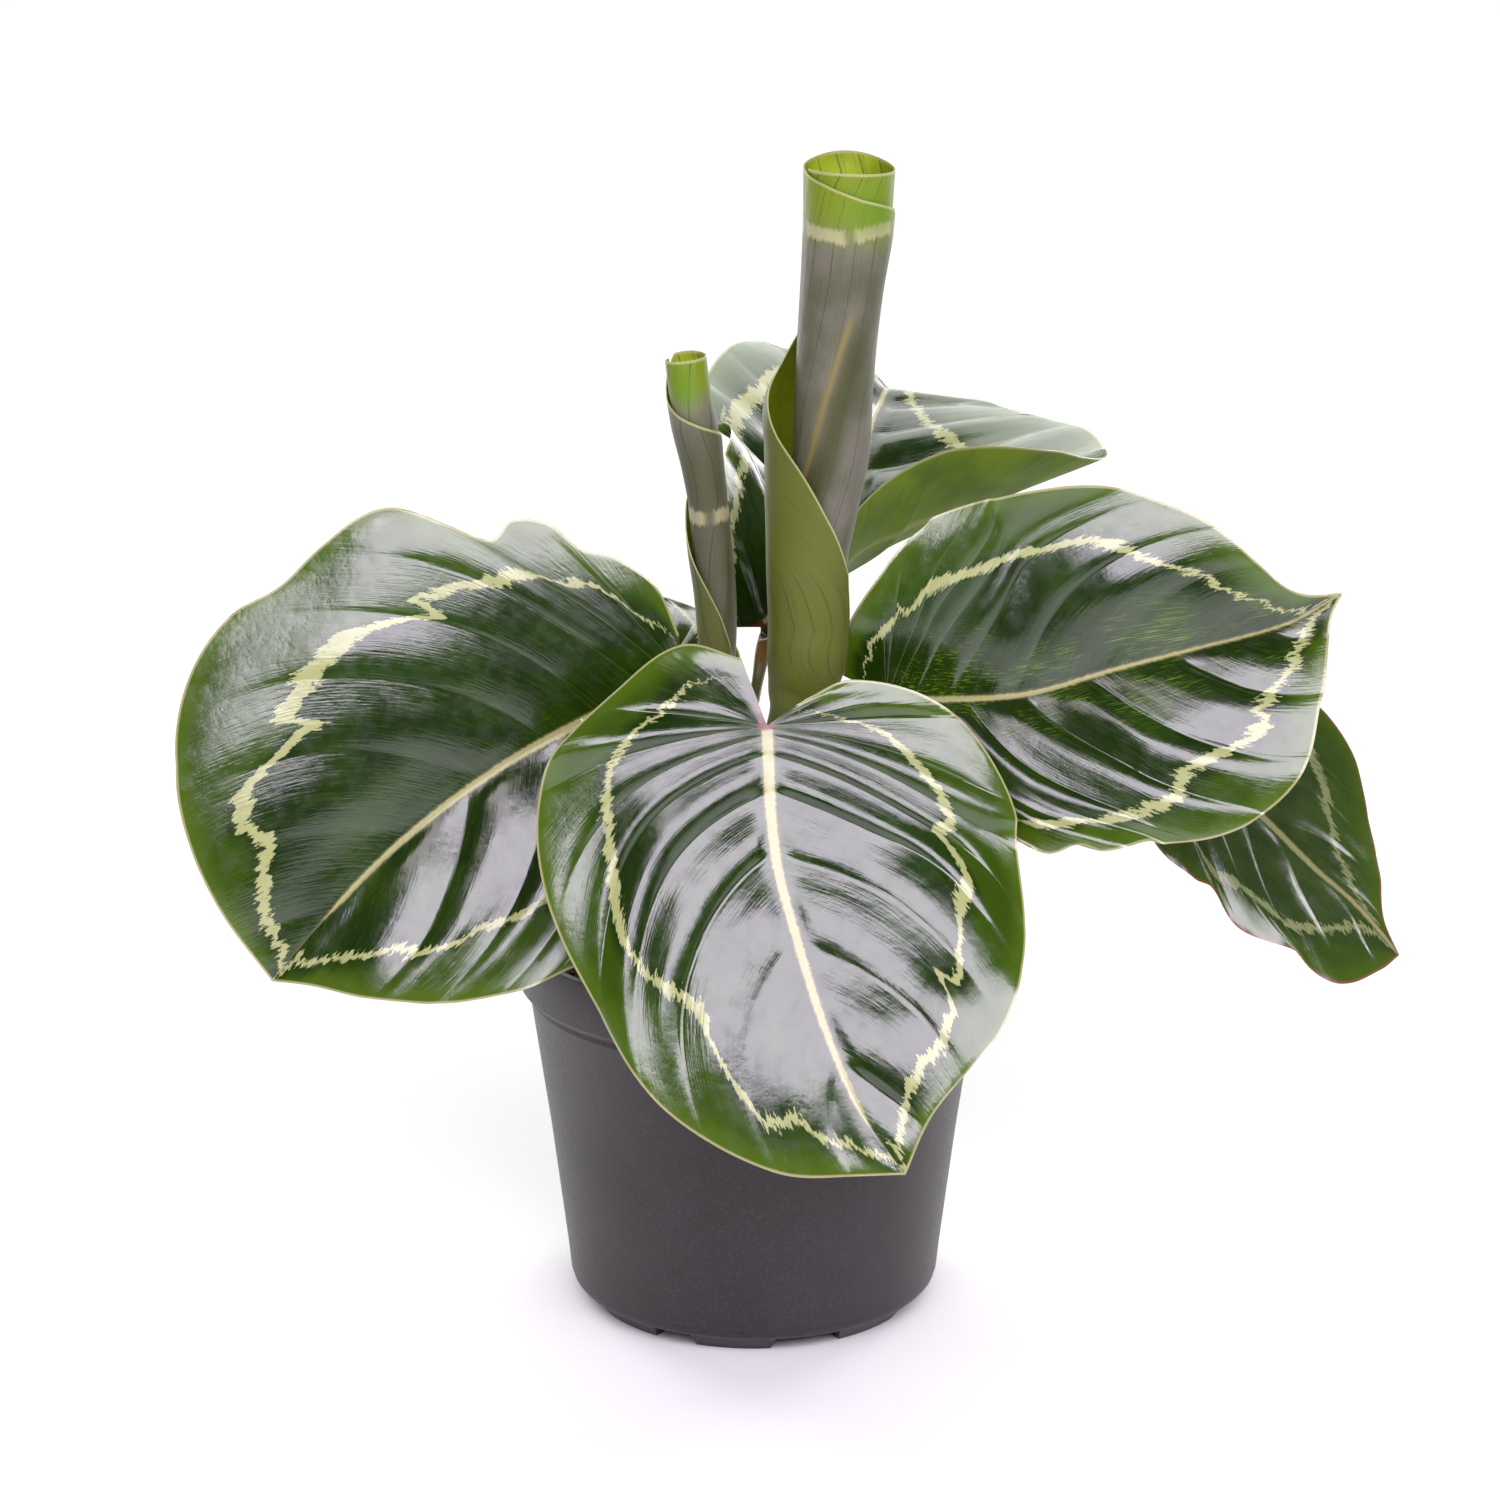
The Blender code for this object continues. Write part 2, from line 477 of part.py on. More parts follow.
def blade_sheet(leaf):
    """Middle sheet of a blade: both halves as triangles on the vein grid, joined along the midrib, with
    the distance of the upper and the lower face from it. The sheet sinks along the midrib."""
    s = np.linspace(0, 1, VEIN_STEPS + 1)
    t = np.asarray(ACROSS_STEPS)
    points, up, down, triangles, known = [], [], [], [], {}
    for side in ("right", "left"):
        grid, keel, reach = half_blade(leaf, side, s, t)
        sink = BLADE_UP * (1 - np.clip(reach / KEEL_HALF_WIDTH, 0.1, 1))
        index = np.empty(grid.shape[:2], int)
        for i in range(len(s)):
            for j in range(len(t)):
                key = tuple(np.round(grid[i, j], 2))
                if key not in known:
                    known[key] = len(points)
                    points.append(grid[i, j])
                    up.append(BLADE_UP - sink[i, j])
                    down.append(BLADE_DOWN + sink[i, j] + keel[i, j])
                index[i, j] = known[key]
        for i in range(len(s) - 1):
            for j in range(len(t) - 1):
                a, b, c, d = index[i, j], index[i + 1, j], index[i + 1, j + 1], index[i, j + 1]
                for corners in ((a, b, c), (a, c, d)):
                    if len(set(corners)) == 3:
                        triangles.append(corners if side == "left" else corners[::-1])
    return np.array(points), np.array(triangles), np.array(up), np.array(down)


def make_blade(name, leaf):
    points, triangles, up, down = blade_sheet(leaf)
    solid, faces = sheet_solid(points, triangles, up, down)
    return make_object(name + "_blade", solid, faces, "leaf_blade")


# Rolled leaves
def roll_grid(roll, rows, columns):
    """Spiral sheet: every column keeps its angle and climbs from the inner edge to the outer one."""
    margin = np.asarray(roll["margin"], float)
    inner = np.asarray(roll["inner"], float)
    angle = np.linspace(inner[0, 0], margin[-1, 0], columns)
    low = np.interp(angle, inner[:, 0], inner[:, 1])
    high = np.interp(angle, margin[:, 0], margin[:, 1])
    high[-1] = margin[-1, 1]
    share = low + np.linspace(0, 1, rows)[:, None] * (high - low)
    outermost = np.interp(share, margin[::-1, 1], margin[::-1, 0])
    centre = smooth_rows(roll["axis"], share)
    radius, flap = np.moveaxis(smooth_rows(roll["girth"], share), -1, 0)
    stand = np.clip((angle - FLAP_START) / FLAP_SPAN, 0, 1)
    reach = radius - ROLL_PITCH * (outermost - angle) / 360 + flap * stand ** 2 * (3 - 2 * stand)
    climb = unit(smooth_rows(roll["axis"], share + 0.01) - smooth_rows(roll["axis"], share - 0.01))
    east = unit(np.array([1.0, 0, 0]) - climb * climb[..., :1])
    north = np.cross(climb, east)
    turn = np.radians(angle)[None, :, None]
    return centre + reach[..., None] * (np.cos(turn) * east + np.sin(turn) * north)


def make_roll(name, roll):
    rows, columns = roll["rows"], roll["columns"]
    points = roll_grid(roll, rows, columns).reshape(-1, 3)
    triangles = []
    for i in range(rows - 1):
        for j in range(columns - 1):
            a = i * columns + j
            b, c, d = a + 1, a + columns + 1, a + columns
            triangles += [(a, b, c), (a, c, d)]
    half = np.full(len(points), ROLL_SHEET / 2)
    solid, faces = sheet_solid(points, np.array(triangles), half, half)
    return make_object(name, solid, faces, "rolled_leaf")


# Stalks
def tube(path, radii, sides):
    """Closed tube along a path, with a radius for each of its points."""
    lead = unit(np.gradient(path, axis=0))
    across = unit(np.cross(lead[0], [0.0, 1.0, 0.3]))
    points, faces = [], []
    for k, (centre, ahead, radius) in enumerate(zip(path, lead, radii)):
        across = unit(across - np.dot(across, ahead) * ahead)
        other = np.cross(ahead, across)
        for m in range(sides):
            turn = 2 * math.pi * m / sides
            points.append(centre + radius * (math.cos(turn) * across + math.sin(turn) * other))
        if k:
            low, high = (k - 1) * sides, k * sides
            for m in range(sides):
                nxt = (m + 1) % sides
                faces.append((low + m, low + nxt, high + nxt, high + m))
    faces.append(tuple(reversed(range(sides))))
    faces.append(tuple(range((len(path) - 1) * sides, len(path) * sides)))
    return np.array(points), faces


def make_stalk(name, stalk, end, arrive, joint=True):
    """Stalk from its hole in the soil to the underside of its blade, swollen just below the blade."""
    x, y = stalk["root"]
    arrive = unit(np.asarray(arrive, float))
    foot = [(x, y, SOIL_TOP - STALK_DEPTH), (x, y, SOIL_TOP + 5)]
    tail = [tuple(end - arrive * JOINT_LENGTH), tuple(end)]
    shares = np.linspace(0, 1, 16)
    upper = smooth_line(foot[1:] + stalk["bends"] + tail, shares)
    path = np.vstack([foot[:1], upper])
    left = np.linalg.norm(np.diff(path, axis=0), axis=1)
    left = np.concatenate([np.cumsum(left[::-1])[::-1], [0]])
    radii = STALK_NECK + (STALK_FOOT - STALK_NECK) * np.clip((left / left[0] - 0.25) / 0.5, 0, 1)
    radii[:2] = STALK_FOOT
    if joint:
        swell = np.exp(-((left - JOINT_LENGTH * 0.55) / (JOINT_LENGTH * 0.45)) ** 2)
        radii = radii + (JOINT_RADIUS - STALK_NECK) * swell
        radii[-1] = STALK_END
    points, faces = tube(path, radii, STALK_SIDES)
    return outward(make_object(name + "_stalk", points, faces, "leaf_stalk"))


def blade_stalk(name, leaf):
    point, _, normal, _, _ = midrib_frame(leaf, np.array([KEEL_START + 0.5]))
    end = point[0] - normal[0] * (BLADE_UP + BLADE_DOWN + KEEL_BASE + GAP)
    return make_stalk(name, leaf["stalk"], end, leaf["stalk"]["arrive"])


def roll_stalk(name, roll):
    centre = np.array(roll["axis"][0][1:], float)
    return make_stalk(name, roll["stalk"], centre - np.array([0, 0, GAP + 0.2]), (0, 0, 1), joint=False)


def main():
    for item in list(bpy.data.objects):
        bpy.data.objects.remove(item, do_unlink=True)
    make_pot()
    make_soil([item["stalk"]["root"] for item in (*LEAVES.values(), *ROLLS.values())])
    for name, leaf in LEAVES.items():
        make_blade(name, leaf)
        blade_stalk(name, leaf)
    for name, roll in ROLLS.items():
        make_roll(name, roll)
        roll_stalk(name, roll)


main()
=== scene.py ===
# A potted calathea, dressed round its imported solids. Lengths in the settings are in mm, and in metres for
# the camera and the studio.
import math

import bmesh
import bpy
import numpy as np
from mathutils import Matrix


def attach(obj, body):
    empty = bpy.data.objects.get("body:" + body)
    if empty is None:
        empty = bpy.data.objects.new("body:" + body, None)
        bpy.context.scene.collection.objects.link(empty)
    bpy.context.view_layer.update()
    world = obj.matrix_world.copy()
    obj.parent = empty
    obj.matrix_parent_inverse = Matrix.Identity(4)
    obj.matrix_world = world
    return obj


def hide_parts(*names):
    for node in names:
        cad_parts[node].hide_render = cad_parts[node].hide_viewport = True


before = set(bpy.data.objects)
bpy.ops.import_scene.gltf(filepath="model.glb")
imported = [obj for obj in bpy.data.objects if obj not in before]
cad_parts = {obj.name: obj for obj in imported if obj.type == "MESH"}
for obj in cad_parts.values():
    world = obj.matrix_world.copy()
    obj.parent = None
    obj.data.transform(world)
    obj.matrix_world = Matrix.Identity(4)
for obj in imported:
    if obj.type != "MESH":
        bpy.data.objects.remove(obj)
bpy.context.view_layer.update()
mm = 0.001
print("frame loaded:", len(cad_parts), "nodes")


# Curves, frames and noise
def unit(v):
    # the same directions, with length 1
    return v / np.linalg.norm(v, axis=-1, keepdims=True)


def smoothStep(x, start=0.0, span=1.0):
    # from 0 to 1 with soft ends while x goes from start over the span, which may be negative
    x = np.clip((x - start) / span, 0, 1)
    return x * x * (3 - 2 * x)


def bell(x, middle, width):
    # 1 at the middle, falling away alike on both sides
    return np.exp(-((x - middle) / width) ** 2)


def between(pair, share):
    # the first of the pair at share 0, the second at share 1
    return (1 - share) * np.asarray(pair[0]) + share * np.asarray(pair[1])


def cubic(u, start, leave, stop, reach):
    # curve from start to stop, with its directions at both ends
    return ((2 * u**3 - 3 * u**2 + 1) * start + (u**3 - 2 * u**2 + u) * leave
            + (3 * u**2 - 2 * u**3) * stop + (u**3 - u**2) * reach)


def lengthAlong(line):
    # running length at each point of a line
    return np.concatenate([[0], np.cumsum(np.linalg.norm(np.diff(line, axis=0), axis=1))])


def readAt(want, run, line):
    # points of the line at the wanted lengths
    return np.stack([np.interp(want, run, line[:, k]) for k in range(line.shape[1])], -1)


def smoothLine(points, shares):
    # cubic curve through the points, read at shares of its length
    p = np.asarray(points, float)
    ends = np.vstack([2 * p[0] - p[1], p, 2 * p[-1] - p[-2]])
    u = np.linspace(0, 1, 24, endpoint=False)[:, None]
    parts = []
    for before, start, stop, after in zip(ends, ends[1:], ends[2:], ends[3:]):
        span = np.linalg.norm(stop - start)
        parts.append(cubic(u, start, unit(stop - before) * span, stop, unit(after - start) * span))
    fine = np.vstack(parts + [p[-1:]])
    run = lengthAlong(fine)
    return readAt(np.asarray(shares) * run[-1], run, fine)


def smoothRows(rows, at):
    # smooth value of each column of the rows against their first column
    table = np.asarray(rows, float)
    x = table[:, 0]
    i = np.clip(np.searchsorted(x, at) - 1, 0, len(x) - 2)
    d = x[i + 1] - x[i]
    columns = []
    for y in table[:, 1:].T:
        m = np.gradient(y, x)
        columns.append(cubic((at - x[i]) / d, y[i], d * m[i], y[i + 1], d * m[i + 1]))
    return np.stack(columns, -1)


def knots(rows, at):
    # value on straight lines between rows of (place, value)
    places, values = zip(*rows)
    return np.interp(at, places, values)


def softNoise(x, y, cell, seed):
    # random heights on a square lattice of the cell's size, blended smoothly, from -1 to 1
    size = 128
    table = np.random.default_rng(seed).uniform(-1, 1, (size, size))
    gx, gy = x / cell, y / cell
    i, j = np.floor(gx).astype(int), np.floor(gy).astype(int)
    fx, fy = smoothStep(gx - i), smoothStep(gy - j)
    i, j = i % (size - 1), j % (size - 1)
    low = table[i, j] * (1 - fx) + table[i + 1, j] * fx
    high = table[i, j + 1] * (1 - fx) + table[i + 1, j + 1] * fx
    return low * (1 - fy) + high * fy


# Meshes
def gridQuads(index, flip=False):
    # one quad between each four neighbours of a grid of point numbers
    a, b, c, d = index[:-1, :-1], index[1:, :-1], index[1:, 1:], index[:-1, 1:]
    quads = np.stack([a, b, c, d], -1).reshape(-1, 4)
    return quads[:, ::-1] if flip else quads


def gridIndex(grid, closed=False):
    # point numbers of a grid, whose last column joins its first if it is closed
    index = np.arange(grid[..., 0].size).reshape(grid.shape[:2])
    return np.hstack([index, index[:, :1]]) if closed else index


def makePiece(name, points, quads, materials, node=None, fields=None, uv=None, slots=None,
              merge=0.004, sharp=40):
    # a mesh from points in mm, with its fields as point attributes, riding on the one body
    mesh = bpy.data.meshes.new(name)
    mesh.from_pydata((points * mm).tolist(), [], quads.tolist())
    for material in materials:
        mesh.materials.append(material)
    if slots is not None:
        mesh.polygons.foreach_set("material_index", slots)
    for key, values in (fields or {}).items():
        mesh.attributes.new(key, "FLOAT", "POINT").data.foreach_set("value", values)
    if uv is not None:
        corner = np.empty(len(mesh.loops), np.int32)
        mesh.loops.foreach_get("vertex_index", corner)
        mesh.uv_layers.new(name="veins").data.foreach_set("uv", uv[corner].ravel())
    if merge:
        work = bmesh.new()
        work.from_mesh(mesh)
        bmesh.ops.remove_doubles(work, verts=work.verts, dist=merge * mm)
        work.to_mesh(mesh)
        work.free()
    mesh.shade_smooth()
    mesh.set_sharp_from_angle(angle=math.radians(sharp))
    piece = bpy.data.objects.new(name, mesh)
    bpy.context.scene.collection.objects.link(piece)
    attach(piece, "root")
    if node:
        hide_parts(node)
    return piece


# Material nodes
def addNode(tree, kind, inputs=None, **settings):
    made = tree.nodes.new(kind)
    for key, value in settings.items():
        setattr(made, key, value)
    for key, value in (inputs or {}).items():
        if isinstance(value, bpy.types.NodeSocket):
            tree.links.new(value, made.inputs[key])
        else:
            made.inputs[key].default_value = value
    return made


def newMaterial(name, **values):
    material = bpy.data.materials.new(name)
    material.use_nodes = True
    tree = material.node_tree
    shader = tree.nodes["Principled BSDF"]
    for key, value in values.items():
        shader.inputs[key.replace("_", " ")].default_value = value
    return material, tree, shader


def field(tree, name):
    return addNode(tree, "ShaderNodeAttribute", attribute_name=name).outputs["Fac"]


def calc(tree, operation, a, b=0.0, c=0.0):
    return addNode(tree, "ShaderNodeMath", {0: a, 1: b, 2: c}, operation=operation).outputs[0]


def ramp(tree, value, start, stop, low=0.0, high=1.0):
    # smooth change from low to high while the value goes from start to stop
    inputs = {"Value": value, "From Min": start, "From Max": stop, "To Min": low, "To Max": high}
    return addNode(tree, "ShaderNodeMapRange", inputs, interpolation_type="SMOOTHSTEP").outputs[0]


def blend(tree, factor, a, b, mode="MIX"):
    made = addNode(tree, "ShaderNodeMix", data_type="RGBA", blend_type=mode)
    for key, value in (("Factor_Float", factor), ("A_Color", a), ("B_Color", b)):
        socket = next(s for s in made.inputs if s.identifier == key)
        if isinstance(value, bpy.types.NodeSocket):
            tree.links.new(value, socket)
        else:
            socket.default_value = value if isinstance(value, float) else (*value[:3], 1.0)
    return next(s for s in made.outputs if s.identifier == "Result_Color")


def paint(tree, tone, colour, value, start, stop, strength=1.0):
    # the colour laid over the tone as the value goes from start to stop
    return blend(tree, ramp(tree, value, start, stop, 0.0, strength), tone, colour)


def jitter(tree, value, grain, amount):
    # the value shifted to and fro by the grain, whose middle is a half
    return calc(tree, "MULTIPLY_ADD", calc(tree, "SUBTRACT", grain, 0.5), amount, value)


def noise(tree, vector, scale, detail=2.0, rough=0.5):
    inputs = {"Vector": vector, "Scale": scale, "Detail": detail, "Roughness": rough}
    return addNode(tree, "ShaderNodeTexNoise", inputs).outputs["Fac"]


def fibre(tree, vector, x, y, detail=2.0, rough=0.5, z=1.0):
    # noise drawn out, with x, y and z spots to the unit
    drawn = addNode(tree, "ShaderNodeMapping", {"Vector": vector, "Scale": (x, y, z)})
    return noise(tree, drawn.outputs["Vector"], 1.0, detail, rough)


def ownPlace(tree):
    return addNode(tree, "ShaderNodeTexCoord").outputs["Object"]


def veinMap(tree):
    # the piece's own map, across and along its veins, in units of 100 mm
    return addNode(tree, "ShaderNodeUVMap", uv_map="veins").outputs["UV"]


def finishSkin(tree, shader, tone, relief, depth, strength):
    # colour, and relief of the given depth in metres
    tree.links.new(tone, shader.inputs["Base Color"])
    inputs = {"Height": relief, "Distance": depth, "Strength": strength}
    tree.links.new(addNode(tree, "ShaderNodeBump", inputs).outputs["Normal"], shader.inputs["Normal"])


# Camera, at the photograph's height and tilt
cameraSettings = dict(place=(-0.001, -1.0269, 0.4489), tilt=16.5, field=20.0, sensor=36.0)


def makeCamera(c):
    data = bpy.data.cameras.new("camera")
    data.sensor_width = c["sensor"]
    data.lens = c["sensor"] / 2 / math.tan(math.radians(c["field"] / 2))
    camera = bpy.data.objects.new("camera", data)
    camera.location = c["place"]
    camera.rotation_euler = (math.radians(90 - c["tilt"]), 0, 0)
    bpy.context.scene.collection.objects.link(camera)
    bpy.context.scene.camera = camera


# Floor, soft boxes and surroundings. A box is at an azimuth and elevation, and at a distance from the
# plant's middle; azimuth 0 is the viewer's side and 90 the viewer's right. The floor shines white from
# litFrom to litTo outwards; seen, diffuse and glossy are how bright each kind of ray finds the sky.
studio = dict(
    middle=(0.0, 0.0, 0.15), floorSize=6.0, floor=(0.8, 0.8, 0.8), floorGrain=1.02, litFrom=0.2, litTo=0.7,
    seen=1.0, diffuse=0.32, glossy=0.04,
    boxes=dict(
        key=dict(at=(13, 35), distance=1.35, size=(1.95, 0.72), watts=28, colour=(0.98, 0.9, 1.04)),
        window=dict(at=(-41, 47), distance=1.35, size=(0.55, 0.35), watts=2, colour=(1.02, 0.9, 0.98)),
        side=dict(at=(138, 10), distance=1.3, size=(0.5, 1.0), watts=8, colour=(1.0, 0.95, 1.0)),
        fill=dict(at=(-140, 8), distance=1.3, size=(0.5, 1.0), watts=9, colour=(1.0, 0.95, 1.0)),
        back=dict(at=(180, 36), distance=2.4, size=(4.5, 2.4), watts=75, colour=(1.0, 1.0, 1.0))))


def makeStudio(c):
    half = c["floorSize"] / 2
    mesh = bpy.data.meshes.new("floor")
    corners = [(-half, -half, 0), (half, -half, 0), (half, half, 0), (-half, half, 0)]
    mesh.from_pydata(corners, [], [(0, 1, 2, 3)])
    material, tree, shader = newMaterial("floorPaper", Roughness=0.85)
    place = ownPlace(tree)
    paler = tuple(v * c["floorGrain"] for v in c["floor"])
    tone = paint(tree, c["floor"], paler, noise(tree, place, 900.0), 0.3, 0.7)
    far = addNode(tree, "ShaderNodeVectorMath", {0: place}, operation="LENGTH").outputs["Value"]
    far = ramp(tree, far, c["litFrom"], c["litTo"])
    shader.inputs["Emission Color"].default_value = (1, 1, 1, 1)
    tree.links.new(far, shader.inputs["Emission Strength"])
    tree.links.new(blend(tree, far, tone, (0.0, 0.0, 0.0)), shader.inputs["Base Color"])
    mesh.materials.append(material)
    floor = bpy.data.objects.new("floor", mesh)
    bpy.context.scene.collection.objects.link(floor)
    for name, box in c["boxes"].items():
        light = bpy.data.lights.new(name, "AREA")
        light.shape = "RECTANGLE"
        light.size, light.size_y = box["size"]
        light.energy = box["watts"]
        light.color = box["colour"]
        lamp = bpy.data.objects.new(name, light)
        turn, lift = (math.radians(angle) for angle in box["at"])
        way = np.array([math.sin(turn) * math.cos(lift), -math.cos(turn) * math.cos(lift), math.sin(lift)])
        lamp.location = np.asarray(c["middle"]) + way * box["distance"]
        lamp.rotation_euler = (math.radians(90) - lift, 0, turn)
        bpy.context.scene.collection.objects.link(lamp)
    world = bpy.data.worlds.new("surroundings")
    bpy.context.scene.world = world
    world.use_nodes = True
    tree = world.node_tree
    back = tree.nodes["Background"]
    rays = addNode(tree, "ShaderNodeLightPath").outputs
    level = calc(tree, "MULTIPLY_ADD", rays["Is Glossy Ray"], c["glossy"] - c["diffuse"], c["diffuse"])
    level = calc(tree, "MULTIPLY_ADD", rays["Is Camera Ray"], calc(tree, "SUBTRACT", c["seen"], level), level)
    tree.links.new(level, back.inputs["Strength"])
    back.inputs["Color"].default_value = (1, 1, 1, 1)
    bpy.context.scene.view_settings.view_transform = "Standard"


# Pot. wall has (height, radius) up its outside; rounds and steps are lists of (out, up) from a corner.
potSettings = dict(
    rim=60.0, height=98.0, lipBottom=85.2, thickness=1.3, sides=192, sharp=35,
    wallTop=82.7, wall=[(6.6, 47.5), (14.0, 48.3), (46.0, 52.2), (82.7, 57.4)],
    seam=(81.2, 81.6), seamOut=0.25, footRound=[(-2.3, 0), (-1.2, 0.4), (-0.5, 1.2)],
    footStep=[(-0.3, -0.5), (-0.25, -0.1), (0.05, 0.2)], lipUnder=[(-0.9, -1.0), (-0.25, -0.35), (0, 0.2)],
    lipOver=[(0, -0.8), (-0.15, -0.3), (-0.5, -0.05)], lipStep=0.4, lipRound=[(0.15, -0.2), (0, -0.6)],
    lipFoot=1.2, shoulder=0.5, floorUnder=3.8, floorThick=1.4, floorRound=(2, 3),
    footMiddles=(-138, -97, -47, -2, 43, 88, 133, 178), footRadius=42.4, footFlare=3.2, footInner=36.0,
    footSpan=25.0, padRadius=12.0, sunk=0.5, holes=8, holeRadius=4.0, holeCircle=25.0, drillSpare=2.0,
    colour=(0.0145, 0.0112, 0.0124), worn=(0.022, 0.0178, 0.0196), streak=(0.055, 0.047, 0.053),
    pale=(0.045, 0.037, 0.042), pit=(0.008, 0.0065, 0.0075))


def wallRadius(c, height):
    # radius of the wall's outside, which runs straight between its given heights
    return float(knots(c["wall"], height))


def potMaterial(c):
    # grey plastic, clouded, with faint upright streaks and pale and dark specks
    material, tree, shader = newMaterial("potPlastic", Roughness=0.42)
    place = ownPlace(tree)
    speck = noise(tree, place, 1100.0)
    tone = paint(tree, c["colour"], c["worn"], noise(tree, place, 28.0, 4.0, 0.6), 0.35, 0.7)
    tone = paint(tree, tone, c["streak"], fibre(tree, place, 260.0, 260.0, 3.0, z=9.0), 0.55, 0.75, 0.1)
    tone = paint(tree, tone, c["pale"], speck, 0.5, 0.72, 0.45)
    tone = paint(tree, tone, c["pit"], speck, 0.45, 0.28, 0.5)
    tree.links.new(ramp(tree, speck, 0.3, 0.8, 0.4, 0.52), shader.inputs["Roughness"])
    finishSkin(tree, shader, tone, noise(tree, place, 1500.0), 0.0002, 0.35)
    return material


def moved(radius, height, steps):
    # the steps counted from the corner at this radius and height
    return [(radius + out, height + up) for out, up in steps]


def makePot(c):
    # profile of (radius, height) turned round the axis, closed on itself, with feet and holes added
    under, top = c["floorUnder"], c["floorUnder"] + c["floorThick"]
    footHeight, footRadius = c["wall"][0]
    rim, wall, wallTop = c["rim"], c["thickness"], c["wallTop"]
    lip = rim - wall - c["lipStep"]
    bends = [height for height, _ in c["wall"][1:-1]]
    seamLow, seamHigh = c["seam"]
    floorIn, floorUp = c["floorRound"]
    profile = [(0, under)] + moved(footRadius, under, c["footRound"])
    profile += moved(footRadius, footHeight, c["footStep"])
    profile += [(wallRadius(c, height), height) for height in bends + [seamLow]]
    profile += [(wallRadius(c, seamHigh) + c["seamOut"], seamHigh), (wallRadius(c, wallTop), wallTop)]
    profile += moved(rim, c["lipBottom"], c["lipUnder"]) + moved(rim, c["height"], c["lipOver"])
    profile += [(rim - wall, c["height"])] + moved(lip, c["height"], c["lipRound"])
    profile += [(lip, c["lipBottom"] + c["lipFoot"])]
    profile += [(wallRadius(c, wallTop) - wall, wallTop - c["shoulder"])]
    profile += [(wallRadius(c, height) - wall, height) for height in bends[::-1] + [top + floorUp]]
    profile += [(wallRadius(c, top) - wall - floorIn, top), (0, top)]
    profile = np.array(profile, float)
    turn = np.linspace(0, 2 * math.pi, c["sides"], endpoint=False)
    points = np.stack([profile[:, :1] * np.cos(turn), profile[:, :1] * np.sin(turn),
                       np.repeat(profile[:, 1:], len(turn), 1)], -1)
    quads = gridQuads(gridIndex(points, True), True)
    pot = makePiece("potShell", points.reshape(-1, 3), quads, [potMaterial(c)], "pot",
                    sharp=c["sharp"])
    half, lift = math.radians(c["footSpan"] / 2), under + c["sunk"]
    feet = [sector(c["footInner"], c["footRadius"], math.radians(m) - half, math.radians(m) + half, 0, lift,
                   c["footFlare"]) for m in c["footMiddles"]]
    joinOrCut(pot, feet + [disc(c["padRadius"], 0, lift)], "UNION")
    drills = []
    for k in range(c["holes"]):
        angle = 2 * math.pi / c["holes"] * (k + 0.5)
        x, y = c["holeCircle"] * math.cos(angle) * mm, c["holeCircle"] * math.sin(angle) * mm
        drills.append(disc(c["holeRadius"], under - c["drillSpare"], top + c["drillSpare"]))
        drills[-1].data.transform(Matrix.Translation((x, y, 0)))
    joinOrCut(pot, drills, "DIFFERENCE")
    pot.data.set_sharp_from_angle(angle=math.radians(c["sharp"]))


def sector(inner, outer, start, stop, low, high, flare=0.0, widen=0.05, steps=40):
    # a slice of a ring, or a whole disc; its top reaches further out by the flare, and its ends spread by
    # the share widen for each mm of that
    whole = stop - start >= 2 * math.pi
    middle = (start + stop) / 2
    turn = np.linspace(start, stop, steps, endpoint=not whole)
    work = bmesh.new()
    loops = []
    for height, extra in ((low, 0.0), (high, flare)):
        spread = turn if whole else middle + (turn - middle) * (1 + widen * extra)
        border = [(outer + extra, t) for t in spread] + ([] if whole else [(inner, t) for t in spread[::-1]])
        corners = [(r * math.cos(t) * mm, r * math.sin(t) * mm, height * mm) for r, t in border]
        loops.append([work.verts.new(corner) for corner in corners])
    lower, upper = loops
    work.faces.new(lower[::-1])
    work.faces.new(upper)
    for k in range(len(lower)):
        work.faces.new((lower[k - 1], lower[k], upper[k], upper[k - 1]))
    bmesh.ops.recalc_face_normals(work, faces=work.faces)
    mesh = bpy.data.meshes.new("tool")
    work.to_mesh(mesh)
    work.free()
    tool = bpy.data.objects.new("tool", mesh)
    bpy.context.scene.collection.objects.link(tool)
    return tool


def disc(radius, low, high):
    return sector(0, radius, 0, 2 * math.pi, low, high)


def joinOrCut(target, tools, operation):
    # the tools joined to the target's mesh or cut out of it, and then deleted
    group = bpy.data.collections.new("group")
    for tool in tools:
        group.objects.link(tool)
    step = target.modifiers.new(operation, "BOOLEAN")
    step.operation = operation
    step.operand_type = "COLLECTION"
    step.collection = group
    step.solver = "EXACT"
    bpy.context.view_layer.update()
    seen = target.evaluated_get(bpy.context.evaluated_depsgraph_get())
    result = bpy.data.meshes.new_from_object(seen)
    target.modifiers.remove(step)
    target.data = result
    for tool in tools:
        bpy.data.objects.remove(tool, do_unlink=True)
    bpy.data.collections.remove(group)


# Soil. lumps has the size of each kind and how far it rises; they fade over settle mm at the wall.
soilSettings = dict(
    top=85.5, crown=2.0, crownWidth=22.0, edge=55.6, rings=110, sides=220, skirt=3,
    lumps=[(9.0, 0.9), (3.2, 0.7), (1.3, 0.45)], settle=6, calm=0.25,
    crumbs=900, crumbSize=(0.35, 1.3), crumbStretch=(0.55, 1.3), crumbRough=0.35, crumbMargin=2,
    perch=0.25, seed=11,
    dark=(0.012, 0.008, 0.005), brown=(0.07, 0.043, 0.025), fleck=(0.16, 0.11, 0.07))


